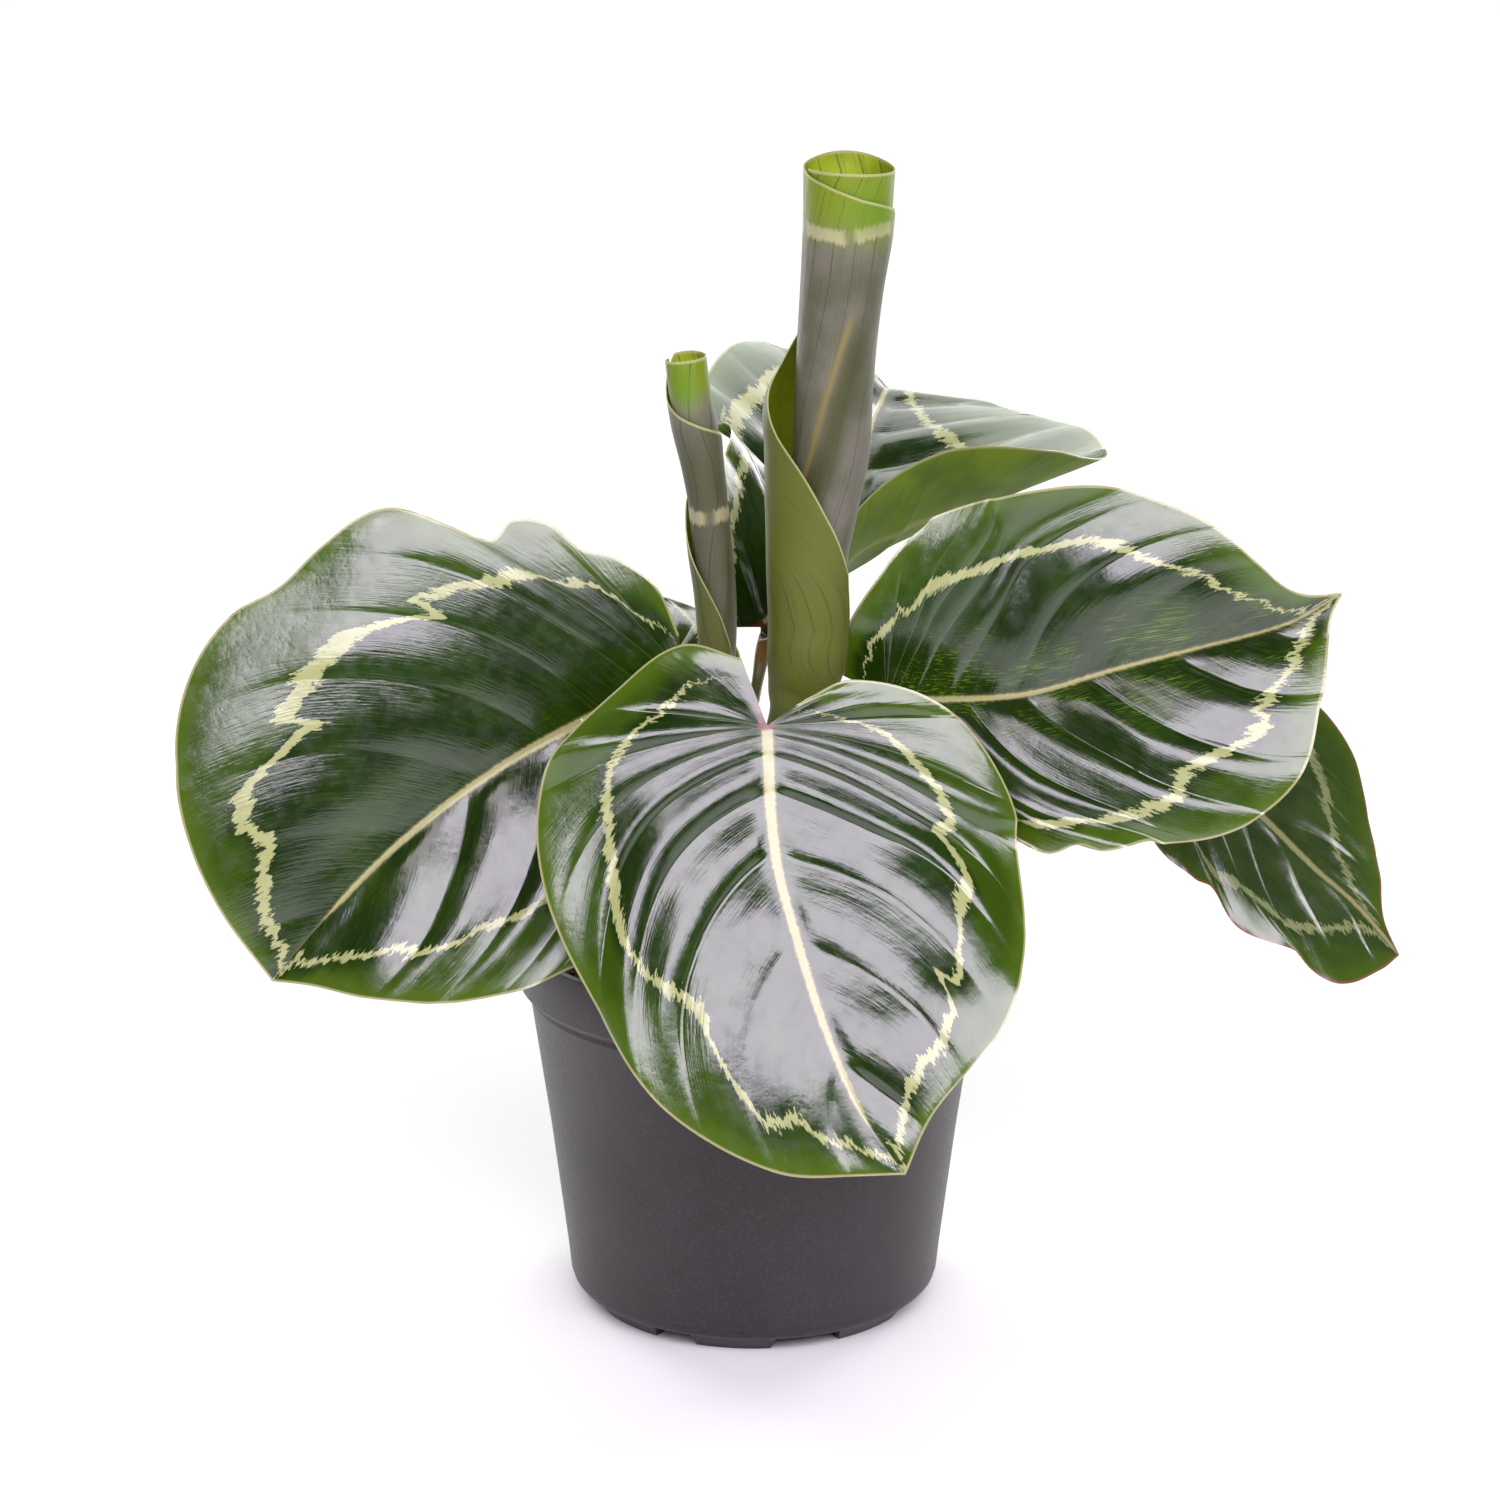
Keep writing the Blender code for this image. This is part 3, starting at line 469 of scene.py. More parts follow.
def soilHeight(c, x, y):
    # a low mound round the stalks, with lumps of three sizes that fade out at the wall
    radius = np.hypot(x, y)
    mound = c["top"] + c["crown"] * bell(radius, 0, c["crownWidth"])
    rough = sum(tall * softNoise(x, y, cell, seed) for seed, (cell, tall) in enumerate(c["lumps"], 1))
    return mound + rough * np.clip((c["edge"] - radius) / c["settle"], c["calm"], 1)


def soilMaterial(c):
    material, tree, shader = newMaterial("pottingSoil", Roughness=0.92)
    place = ownPlace(tree)
    grain = noise(tree, place, 420.0, 5.0, 0.7)
    tone = paint(tree, c["dark"], c["brown"], grain, 0.35, 0.7)
    tone = paint(tree, tone, c["fleck"], noise(tree, place, 900.0, 1.0), 0.68, 0.75)
    finishSkin(tree, shader, tone, grain, 0.001, 0.7)
    return material


def makeSoil(c):
    # a disc of soil whose rim turns down inside the pot, closed underneath
    skirt = c["skirt"]
    radius = np.concatenate([np.linspace(0, c["edge"], c["rings"]), [c["edge"], c["edge"] - skirt, 0]])
    turn = np.linspace(0, 2 * math.pi, c["sides"], endpoint=False)
    x, y = radius[:, None] * np.cos(turn), radius[:, None] * np.sin(turn)
    z = soilHeight(c, x, y)
    z[c["rings"]:] = np.array([c["top"] - skirt, c["top"] - 2 * skirt, c["top"] - 2 * skirt])[:, None]
    points = np.stack([x, y, z], -1)
    quads = gridQuads(gridIndex(points, True))
    material = soilMaterial(c)
    makePiece("soilBed", points.reshape(-1, 3), quads, [material], "soil")
    makeCrumbs(c, material)


def makeCrumbs(c, material):
    # one lump, turned, stretched and set down many times
    draw = np.random.default_rng(c["seed"])
    work = bmesh.new()
    bmesh.ops.create_icosphere(work, subdivisions=1, radius=1.0)
    lump = np.array([v.co for v in work.verts])
    tris = np.array([[v.index for v in f.verts] for f in work.faces])
    work.free()
    count = c["crumbs"]
    least, more = c["crumbSize"]
    size = least + more * draw.random(count) ** 3
    turn = draw.uniform(0, 2 * math.pi, count)
    radius = (c["edge"] - c["crumbMargin"]) * np.sqrt(draw.random(count))
    x, y = radius * np.cos(turn), radius * np.sin(turn)
    own = lump[None] * (1 + c["crumbRough"] * draw.uniform(-1, 1, (count, len(lump), 1)))
    own = own * draw.uniform(*c["crumbStretch"], (count, 1, 3)) * size[:, None, None]
    spin = draw.uniform(0, 2 * math.pi, count)
    cos, sin = np.cos(spin)[:, None], np.sin(spin)[:, None]
    east, north = own[..., 0] * cos - own[..., 1] * sin, own[..., 0] * sin + own[..., 1] * cos
    own = np.stack([east, north, own[..., 2]], -1)
    centre = np.stack([x, y, soilHeight(c, x, y) + c["perch"] * size], -1)
    points = (own + centre[:, None]).reshape(-1, 3)
    faces = (tris[None] + (np.arange(count) * len(lump))[:, None, None]).reshape(-1, 3)
    makePiece("soilCrumbs", points, faces, [material], None, merge=0, sharp=180)


# Leaf blades. The midribs and the way the blades face are the solids' own. The halves laid flat are theirs
# within a few mm, and in four leaves they are turned and bowed by other angles, to catch the light as real
# ones do. rise and bend are those angles, at the base and at the tip. Shares count round the outline from
# the notch to the tip: ring is where the pale ring crosses each vein, as a share of the vein, wide is half
# the ring's width, waves lift the margin in mm and curls add bend in degrees, as (share, spread, amount).
# folds scales the pleats of a half, and sweep is its own way of fanning its veins.
bladeSettings = dict(
    alongSteps=270, acrossSteps=40, outward=1.15, thickness=0.36, rimFrom=(0.97, 0.03), rimThin=0.55,
    lobe=0.2, sweep=(3.85, 33.0, 0.6), fanKnots=13, tipTurn=0.6, swingIn=(0.15, 0.55), swingOut=(0.8, 0.2),
    swingLoss=0.65, veins=8.8, crowding=1.45, fineVeins=4, foldKinds=16, tall=(0.5, 1.4), skew=(1.3, 2.3),
    pleat=0.125, mostPleat=1.5, finePleat=0.008, roundness=0.8, level=0.6, pleatIn=(0.6, 5),
    pleatOut=(0.6, 0.35), pleatLoss=0.75, waveGrowth=2.2, sag=0.8, sagCell=21.0, sagShift=40, sagIn=12,
    keelBase=1.7, keelTip=0.3, keelWidth=1.8, keelIn=4, crest=0.35, crestWidth=1.3,
    ribWide=1.75, ribTip=0.75, ribFade=0.1, ringJump=0.7, ladder=0.15, mapPitch=14.0, mapApart=400)
ringPlain = [(0, 0.3), (0.14, 0.55), (0.3, 0.64), (0.55, 0.68), (0.8, 0.64), (0.9, 0.52), (1, 0.1)]
widePlain = [(0, 0), (0.12, 0.4), (0.2, 0.9), (0.35, 1.4), (0.6, 1.7), (0.85, 1.2), (1, 0.7)]
leaves = dict(
    leaf_front=dict(
        midrib=[(3, -35, 161), (5, -47, 133), (11, -59, 112), (18, -70, 93), (26, -78, 77), (36, -84, 64)],
        face=[(0.05, -0.75, 0.65), (-0.10, -0.95, 0.30)], seed=3, ribEnd=0.82,
        right=dict(
            outline=[(-17, 5), (-21, 20), (-11, 37), (5, 53), (24, 58), (50, 53), (78, 44), (97, 28),
                     (108, 11)],
            rise=(21, 5), bend=(-44, -20),
            waves=[(0.14, 0.10, -7.0), (0.30, 0.04, 2.0), (0.55, 0.05, -1.5), (0.68, 0.05, 1.5)],
            ring=[(0, 0.4), (0.15, 0.59), (0.21, 0.55), (0.28, 0.58), (0.38, 0.6), (0.5, 0.62),
                  (0.62, 0.67), (0.68, 0.67), (0.74, 0.62), (0.795, 0.55), (0.81, 0.61), (0.86, 0.77),
                  (0.88, 0.74), (0.9, 0.64), (0.92, 0.69), (0.97, 0.53), (1, 0.1)],
            wide=[(0, 0), (0.12, 0.3), (0.2, 0.8), (0.45, 1.3), (0.6, 2.0), (0.67, 0.8), (0.8, 1.5),
                  (0.9, 1.0), (1, 0.7)]),
        left=dict(
            outline=[(-5, 8), (-10, 22), (-2, 45), (16, 59), (38, 61), (63, 56), (84, 47), (101, 33),
                     (109, 12)],
            rise=(14, 5), bend=(-36, -20),
            waves=[(0.48, 0.20, -3.0), (0.40, 0.05, 1.5), (0.55, 0.05, -1.5), (0.70, 0.04, 1.5)],
            ring=[(0, 0.2), (0.24, 0.36), (0.26, 0.43), (0.38, 0.52), (0.44, 0.59), (0.52, 0.63),
                  (0.585, 0.57), (0.65, 0.7), (0.705, 0.66), (0.77, 0.7), (0.795, 0.71), (0.805, 0.6),
                  (0.82, 0.73), (0.855, 0.75), (0.88, 0.76), (0.885, 0.7), (0.96, 0.68), (1, 0.3)],
            wide=[(0, 0), (0.18, 0.3), (0.25, 1.0), (0.4, 1.8), (0.6, 2.2), (0.68, 2.2), (0.72, 1.3),
                  (0.85, 1.6), (1, 0.7)])),
    leaf_left=dict(
        midrib=[(-18, -2, 166), (-36, -8, 158), (-62, -14, 145), (-86, -19, 128), (-105, -24, 110),
                (-120, -28, 93)],
        face=[(0.0, -0.92, 0.40), (-0.10, -0.92, 0.35)], seed=4, ribEnd=0.78,
        right=dict(
            outline=[(-3, 9), (-3, 22), (3, 33), (10, 39), (14, 48), (21, 53), (28, 51), (36, 60), (45, 71),
                     (57, 71), (68, 69), (79, 71), (92, 66), (106, 54), (117, 37), (125, 19)],
            rise=(26, 20), bend=(-28, -28), folds=0.2, sweep=(2.4, 20.0, 0.55),
            ring=[(0, 0.3), (0.16, 0.42), (0.22, 0.45), (0.267, 0.58), (0.34, 0.6), (0.4, 0.53),
                  (0.467, 0.53), (0.5, 0.59), (0.55, 0.6), (0.573, 0.5), (0.62, 0.63), (0.7, 0.69),
                  (0.725, 0.69), (0.733, 0.59), (0.79, 0.77), (0.825, 0.78), (0.85, 0.66), (0.91, 0.67),
                  (0.95, 0.6), (1, 0.1)],
            wide=[(0, 0), (0.12, 0.4), (0.25, 1.2), (0.34, 0.9), (0.45, 2.2), (0.55, 1.4), (0.66, 2.6),
                  (0.8, 1.8), (1, 0.8)]),
        left=dict(
            outline=[(-4, 10), (-6, 28), (2, 45), (20, 56), (42, 58), (65, 53), (84, 49), (98, 42), (108, 33),
                     (117, 22), (124, 9)],
            rise=(25, 20), bend=(-40, -33), waves=[(0.45, 0.06, -1.5), (0.60, 0.06, 1.5)],
            ring=[(0, 0.3), (0.4, 0.55), (0.73, 0.56), (0.75, 0.62), (0.8, 0.64), (0.81, 0.7), (0.84, 0.74),
                  (0.88, 0.7), (0.965, 0.69), (1, 0.1)],
            wide=widePlain)),
    leaf_right=dict(
        midrib=[(33, -3, 159), (46, -4, 159), (68, -6, 161), (90, -8, 168), (111, -9, 174), (132, -9, 180),
                (145, -10, 188)],
        face=[(-0.20, -0.86, 0.47), (-0.20, -0.86, 0.47)], seed=5, ribEnd=0.97, rib=0.72, ladder=1.0,
        right=dict(
            outline=[(-5, 8), (-8, 21), (0, 33), (14, 39), (30, 38), (35, 42), (40, 41), (44, 44), (55, 45),
                     (60, 47), (75, 48), (88, 44), (96, 37), (103, 22), (111, 6)],
            rise=(20, 16), bend=(-42, -34), waves=[(0.38, 0.03, -1.5), (0.46, 0.03, 2.0), (0.54, 0.03, -1.5)],
            sweep=(2.4, 20.0, 0.55), wide=widePlain,
            ring=[(0, 0.4), (0.3, 0.7), (0.54, 0.74), (0.63, 0.69), (0.675, 0.69), (0.71, 0.62),
                  (0.75, 0.65), (0.79, 0.73), (0.82, 0.75), (0.83, 0.68), (0.86, 0.7), (0.9, 0.74),
                  (0.94, 0.57), (1, 0.2)]),
        left=dict(
            outline=[(-11, 6), (-10, 18), (-1, 33), (6, 42), (22, 49), (45, 50), (59, 48), (71, 44), (88, 31),
                     (104, 13), (110, 5)],
            rise=(32, 44), bend=(-22, -30), curls=[(0.72, 0.13, -16)],
            waves=[(0.40, 0.06, 1.5), (0.62, 0.06, -1.5)], folds=0.5,
            ring=[(0, 0.4), (0.13, 0.53), (0.28, 0.43), (0.35, 0.5), (0.43, 0.5), (0.58, 0.54), (0.67, 0.64),
                  (0.72, 0.7), (0.82, 0.7), (0.85, 0.7), (0.89, 0.65), (0.925, 0.65), (1, 0.2)],
            wide=[(0, 0), (0.08, 0.5), (0.2, 1.3), (0.26, 0.7), (0.4, 1.9), (0.7, 1.9), (0.75, 1.3),
                  (0.85, 0.8), (1, 0.5)])),
    leaf_far_right=dict(
        midrib=[(98, 38, 139), (115, 36, 131), (131, 33, 118), (146, 29, 104), (157, 25, 95), (168, 20, 83)],
        face=[(0.20, -0.60, 0.70), (0.30, -0.60, 0.70)], seed=6, ribEnd=0.95,
        right=dict(
            outline=[(-3, 10), (3, 28), (18, 36), (36, 36), (42, 33), (56, 34), (69, 29), (79, 28), (88, 23),
                     (92, 9)],
            rise=(25, 10), bend=(-20, -20), waves=[(0.40, 0.05, 1.5), (0.55, 0.05, -1.5), (0.70, 0.04, 1.5)],
            folds=0.5, sweep=(3.0, 24.0, 0.6), ring=ringPlain, wide=widePlain),
        left=dict(
            outline=[(-3, 10), (3, 26), (18, 36), (36, 40), (49, 39), (59, 32), (67, 24), (74, 15), (82, 5)],
            rise=(20, -10), bend=(-20, -10), waves=[(0.45, 0.06, 1.0)], folds=0.5,
            ring=ringPlain, wide=widePlain)),
    leaf_back=dict(
        midrib=[(2, 48, 164), (13, 62, 171), (23, 78, 178), (29, 98, 191), (32, 118, 202),
                (35, 131, 206), (38, 140, 208), (41, 146, 196)],
        face=[(0.10, -0.80, 0.60), (0.05, 0.10, 0.95)], seed=7, ribEnd=0.95,
        right=dict(
            outline=[(-10, 8), (-14, 22), (-10, 43), (4, 63), (27, 79), (49, 77), (72, 64), (92, 46),
                     (108, 28)],
            rise=(64, -6), bend=(-27, -3), curls=[(0.29, 0.19, 62), (0.35, 0.17, 10)],
            waves=[(0.17, 0.10, 6.5), (0.52, 0.04, -2.0), (0.60, 0.05, -1.5)],
            sweep=(1.15, 16.0, 0.5), wide=widePlain,
            ring=[(0, 0.4), (0.3, 0.6), (0.6, 0.62), (0.7, 0.45), (0.8, 0.36), (0.92, 0.3), (1, 0.1)]),
        left=dict(
            outline=[(-11, 7), (-12, 20), (0, 32), (14, 40), (34, 47), (54, 51), (76, 50), (96, 40),
                     (110, 20)],
            rise=(46, 30), bend=(-10, -30), waves=[(0.55, 0.06, 1.5)], sweep=(1.15, 16.0, 0.5),
            ring=[(0, 0.5), (0.23, 0.8), (0.34, 0.85), (0.5, 0.8), (0.6, 0.76), (0.68, 0.72), (0.85, 0.6),
                  (1, 0.1)],
            wide=[(0, 0), (0.1, 0.6), (0.25, 1.6), (0.45, 2.0), (0.6, 2.0), (0.85, 1.2), (1, 0.6)])),
    leaf_back_left=dict(
        midrib=[(-29, 30, 151), (-39, 44, 159), (-52, 62, 161), (-66, 80, 154), (-78, 96, 139),
                (-86, 108, 121)],
        face=[(0.10, -0.45, 0.90), (-0.40, 0.30, 0.85)], seed=8, ribEnd=0.95,
        right=dict(
            outline=[(-5, 8), (-8, 18), (-2, 29), (15, 35), (38, 36), (60, 32), (78, 22), (92, 8)],
            rise=(10, -10), bend=(-25, -30), waves=[(0.50, 0.06, 1.5)], ring=ringPlain, wide=widePlain),
        left=dict(
            outline=[(-5, 8), (-8, 20), (0, 32), (18, 39), (40, 40), (60, 34), (78, 22), (92, 8)],
            rise=(10, 0), bend=(-30, -30), waves=[(0.45, 0.06, -1.5)], ring=ringPlain, wide=widePlain)))


def midribFrame(leaf, along):
    # point, direction, upward normal and right-hand side at distances along the midrib, and its length
    line = smoothLine(leaf["midrib"], np.linspace(0, 1, 160))
    run = lengthAlong(line)
    on = np.clip(along, 0, run[-1])
    ahead = unit(readAt(on, run, unit(np.gradient(line, run, axis=0))))
    point = readAt(on, run, line) + ahead * (along - on)[..., None]
    face = between(leaf["face"], (on / run[-1])[..., None])
    normal = unit(face - (face * ahead).sum(-1, keepdims=True) * ahead)
    return point, ahead, normal, np.cross(ahead, normal), run[-1]


def flatVeins(b, half, length, s, t):
    # vein of share s: it leaves the midrib at a wide angle and bows round towards the tip, and no vein
    # leaves at a wider angle than the one before it
    fan, swing, bow = half.get("sweep", b["sweep"])
    margin = smoothLine(half["outline"] + [(length, 0)], s)
    start = np.stack([length * np.clip((s - b["lobe"]) / (1 - b["lobe"]), 0, 1) ** fan, np.zeros_like(s)], -1)
    chord = margin - start
    coarse = np.linspace(0, 1, b["fanKnots"])
    leave = np.interp(coarse, s, np.unwrap(np.arctan2(chord[:, 1], chord[:, 0])))
    leave[-1] = leave[-2] * b["tipTurn"]
    fade = 1 - b["swingLoss"] * smoothStep(coarse, *b["swingOut"])
    leave += math.radians(swing) * smoothStep(coarse, *b["swingIn"]) * fade
    angle = np.interp(s, coarse, np.minimum.accumulate(leave))
    way = np.stack([np.cos(angle), np.sin(angle)], -1)
    middle = start + bow * np.linalg.norm(chord, axis=1)[:, None] * way
    t = t[None, :, None]
    place = (1 - t) ** 2 * start[:, None] + 2 * t * (1 - t) * middle[:, None] + t ** 2 * margin[:, None]
    return place[..., 0], np.maximum(place[..., 1], 0)


def veinPhase(b, s):
    # count of main veins passed at share s, closer together towards the tip
    return b["veins"] * s ** b["crowding"]


def pleats(b, phase, spacing, seed):
    # humps between sunken veins, steeper on the side towards the tip and each a little different, with
    # fine ones on them
    draw = np.random.default_rng(seed)
    height, skew = draw.uniform(*b["tall"], b["foldKinds"]), draw.uniform(*b["skew"], b["foldKinds"])
    fold = np.clip(np.floor(phase).astype(int), 0, b["foldKinds"] - 1)
    u = np.clip(phase - fold, 0, 1) ** skew[fold]
    tall = np.minimum(b["pleat"] * spacing, b["mostPleat"])
    hump = (np.abs(np.sin(np.pi * u)) ** b["roundness"] - b["level"]) * height[fold] * tall
    fine = np.abs(np.sin(np.pi * b["fineVeins"] * phase)) - b["level"]
    return hump + fine * b["finePleat"] * spacing / b["fineVeins"]


def halfBlade(b, leaf, side, s, t):
    # the half laid flat turns by rise at the midrib and by bend on its way out; then margins wave, pleats
    # rise between the veins and the whole sheet undulates a little
    half = leaf[side]
    sign = 1 if side == "right" else -1
    length = midribFrame(leaf, np.zeros(1))[4]
    along, across = flatVeins(b, half, length, s, t)
    point, _, normal, sideways, _ = midribFrame(leaf, along)
    share = np.clip(along / length, 0, 1)
    width = max(p[1] for p in half["outline"])
    rise, bend = np.radians(between(half["rise"], share)), np.radians(between(half["bend"], share))
    for place, spread, extra in half.get("curls", []):
        bend = bend + math.radians(extra) * bell(s[:, None], place, spread)
    least = 1e-4
    rate = np.where(np.abs(bend) < least, least, bend) / width
    turn = rise + rate * across
    out = (np.sin(turn) - np.sin(rise)) / rate
    up = (np.cos(rise) - np.cos(turn)) / rate
    placed = point + sideways * (sign * out)[..., None] + normal * up[..., None]
    own = normal * np.cos(turn)[..., None] - sideways * (sign * np.sin(turn))[..., None]
    lift = np.zeros_like(along)
    for place, spread, height in half.get("waves", []):
        lift = lift + height * bell(s[:, None], place, spread) * t[None, :] ** b["waveGrowth"]
    phase = np.repeat(veinPhase(b, s)[:, None], len(t), 1)
    seed = leaf["seed"] * 10 + (side == "left")
    gapAlong, gapAcross = np.gradient(along, s, axis=0), np.gradient(across, s, axis=0)
    leadAlong, leadAcross = np.gradient(along, t, axis=1), np.gradient(across, t, axis=1)
    vein = np.maximum(np.hypot(leadAlong, leadAcross), 1e-3)
    spacing = np.abs(gapAlong * leadAcross - gapAcross * leadAlong) / vein
    spacing = spacing / np.maximum(np.gradient(phase, s, axis=0), 0.5)
    away = smoothStep(across, *b["pleatIn"]) * (1 - b["pleatLoss"] * smoothStep(t[None, :], *b["pleatOut"]))
    lift = lift + pleats(b, phase, spacing, seed) * away * half.get("folds", 1.0)
    sag = softNoise(along + b["sagShift"], across, b["sagCell"], seed) * smoothStep(across / b["sagIn"])
    lift = lift + b["sag"] * sag
    steps = np.hypot(*(np.diff(way, axis=1, prepend=way[:, :1]) for way in (along, across)))
    return dict(points=placed + own * lift[..., None], own=own, along=along, across=across, phase=phase,
                spacing=spacing, length=length, share=share, vein=np.cumsum(steps, 1),
                flat=np.hypot(np.minimum(along, 0), across))


def bladeFields(b, leaf, half, grid, s, t):
    # distances in mm that the material reads: from the ring, margin, midrib and nearest vein
    draw = np.random.default_rng(leaf["seed"] * 7 + len(half["outline"]))
    jump = draw.uniform(-b["ringJump"], b["ringJump"], b["foldKinds"])[veinPhase(b, s).astype(int)]
    ring = (t[None, :] - knots(half["ring"], s)[:, None]) * grid["vein"][:, -1:] + jump[:, None]
    margin = smoothLine(half["outline"] + [(grid["length"], 0)], np.linspace(0, 1, 900))
    shape = grid["along"].shape
    edge = np.full(shape, np.inf)
    for part in np.array_split(margin, 30):
        apart = np.hypot(grid["along"][..., None] - part[:, 0], grid["across"][..., None] - part[:, 1])
        edge = np.minimum(edge, apart.min(-1))
    edge[:, -1] = 0
    ribHalf = between((b["ribWide"], b["ribTip"]), grid["share"]) * leaf.get("rib", 1.0)
    ribHalf = ribHalf * (1 - smoothStep(grid["share"], leaf["ribEnd"], b["ribFade"]))
    near = np.abs(grid["phase"] - np.round(grid["phase"])) * grid["spacing"]
    wide = np.repeat(knots(half["wide"], s)[:, None], len(t), 1)
    return dict(ringGap=ring, ringWide=wide, edgeGap=edge, ribGap=ribHalf - grid["flat"], veinGap=near,
                midGap=grid["across"], baseGap=grid["along"],
                ladder=np.full(shape, leaf.get("ladder", b["ladder"])))


def makeBlade(b, name, leaf, materials):
    # both halves as closed sheets on the vein grid, joined along the midrib, upper face first
    s = np.linspace(0, 1, b["alongSteps"] + 1)
    t = np.linspace(0, 1, b["acrossSteps"] + 1) ** b["outward"]
    grids = {side: halfBlade(b, leaf, side, s, t) for side in ("right", "left")}
    for grid in grids.values():
        p = grid["points"]
        normal = np.cross(np.gradient(p, axis=0), np.gradient(p, axis=1))
        normal *= np.sign((normal * grid["own"]).sum(-1, keepdims=True))
        size = np.linalg.norm(normal, axis=-1, keepdims=True)
        grid["normal"] = np.where(size < 1e-6, grid["own"], normal / np.maximum(size, 1e-6))
    spine = unit(grids["right"]["own"][:, 0] + grids["left"]["own"][:, 0])
    points, quads, slots, uv, fields = [], [], [], [], {}
    count = 0
    for side, grid in grids.items():
        flip = side == "right"
        normal, flat = grid["normal"], grid["flat"]
        normal[:, 0] = spine
        normal[-1] = spine[-1]
        keel = np.clip(1 - flat / b["keelWidth"], 0, 1) * smoothStep(grid["along"] / b["keelIn"])
        keel = keel * between((b["keelBase"], b["keelTip"]), grid["share"])
        half = b["thickness"] / 2 * (1 - b["rimThin"] * smoothStep(t[None, :], *b["rimFrom"]))
        crest = b["crest"] * bell(flat, 0, b["crestWidth"]) * (1 - grid["share"])
        top = grid["points"] + normal * (half + crest)[..., None]
        low = grid["points"] - normal * (half + keel)[..., None]
        index = count + gridIndex(top)
        under = index + index.size
        count += 2 * index.size
        rim = np.concatenate([gridQuads(np.stack([index[:, -1], under[:, -1]], -1), not flip),
                              gridQuads(np.stack([index[0], under[0]], -1), flip)])
        for quad, slot in ((gridQuads(index, flip), 0), (gridQuads(under, not flip), 1), (rim, 0)):
            quads.append(quad)
            slots.append(np.full(len(quad), slot))
        points += [top.reshape(-1, 3), low.reshape(-1, 3)]
        for key, values in bladeFields(b, leaf, leaf[side], grid, s, t).items():
            fields.setdefault(key, []).extend([values.ravel(), values.ravel()])
        fanned = grid["phase"] * b["mapPitch"] + (0 if flip else b["mapApart"])
        uv += [np.stack([fanned, grid["vein"]], -1).reshape(-1, 2) / 100] * 2
    fields = {key: np.concatenate(values) for key, values in fields.items()}
    return makePiece(name + "_pleated", np.vstack(points), np.vstack(quads), materials, name + "_blade",
                     fields, np.vstack(uv), np.concatenate(slots), merge=0.01, sharp=70)


# Leaf colours, linear. The far right leaf is duller, with less green outside its ring.
leafColours = dict(
    dark=(0.007, 0.021, 0.0012), deep=(0.014, 0.038, 0.002), green=(0.034, 0.075, 0.001),
    bright=(0.12, 0.2, 0.012), ring=(0.37, 0.39, 0.17), rib=(0.35, 0.34, 0.15), ribEdge=(0.11, 0.1, 0.03),
    margin=(0.34, 0.33, 0.15), vein=(0.05, 0.09, 0.015), collar=(0.12, 0.03, 0.015),
    under=(0.13, 0.2, 0.012), underDark=(0.075, 0.13, 0.008), underRib=(0.17, 0.19, 0.07))
dullColours = dict(leafColours, dark=(0.024, 0.045, 0.01), deep=(0.04, 0.068, 0.016), ring=(0.2, 0.23, 0.1),
                   rib=(0.26, 0.25, 0.12), margin=(0.20, 0.08, 0.04))


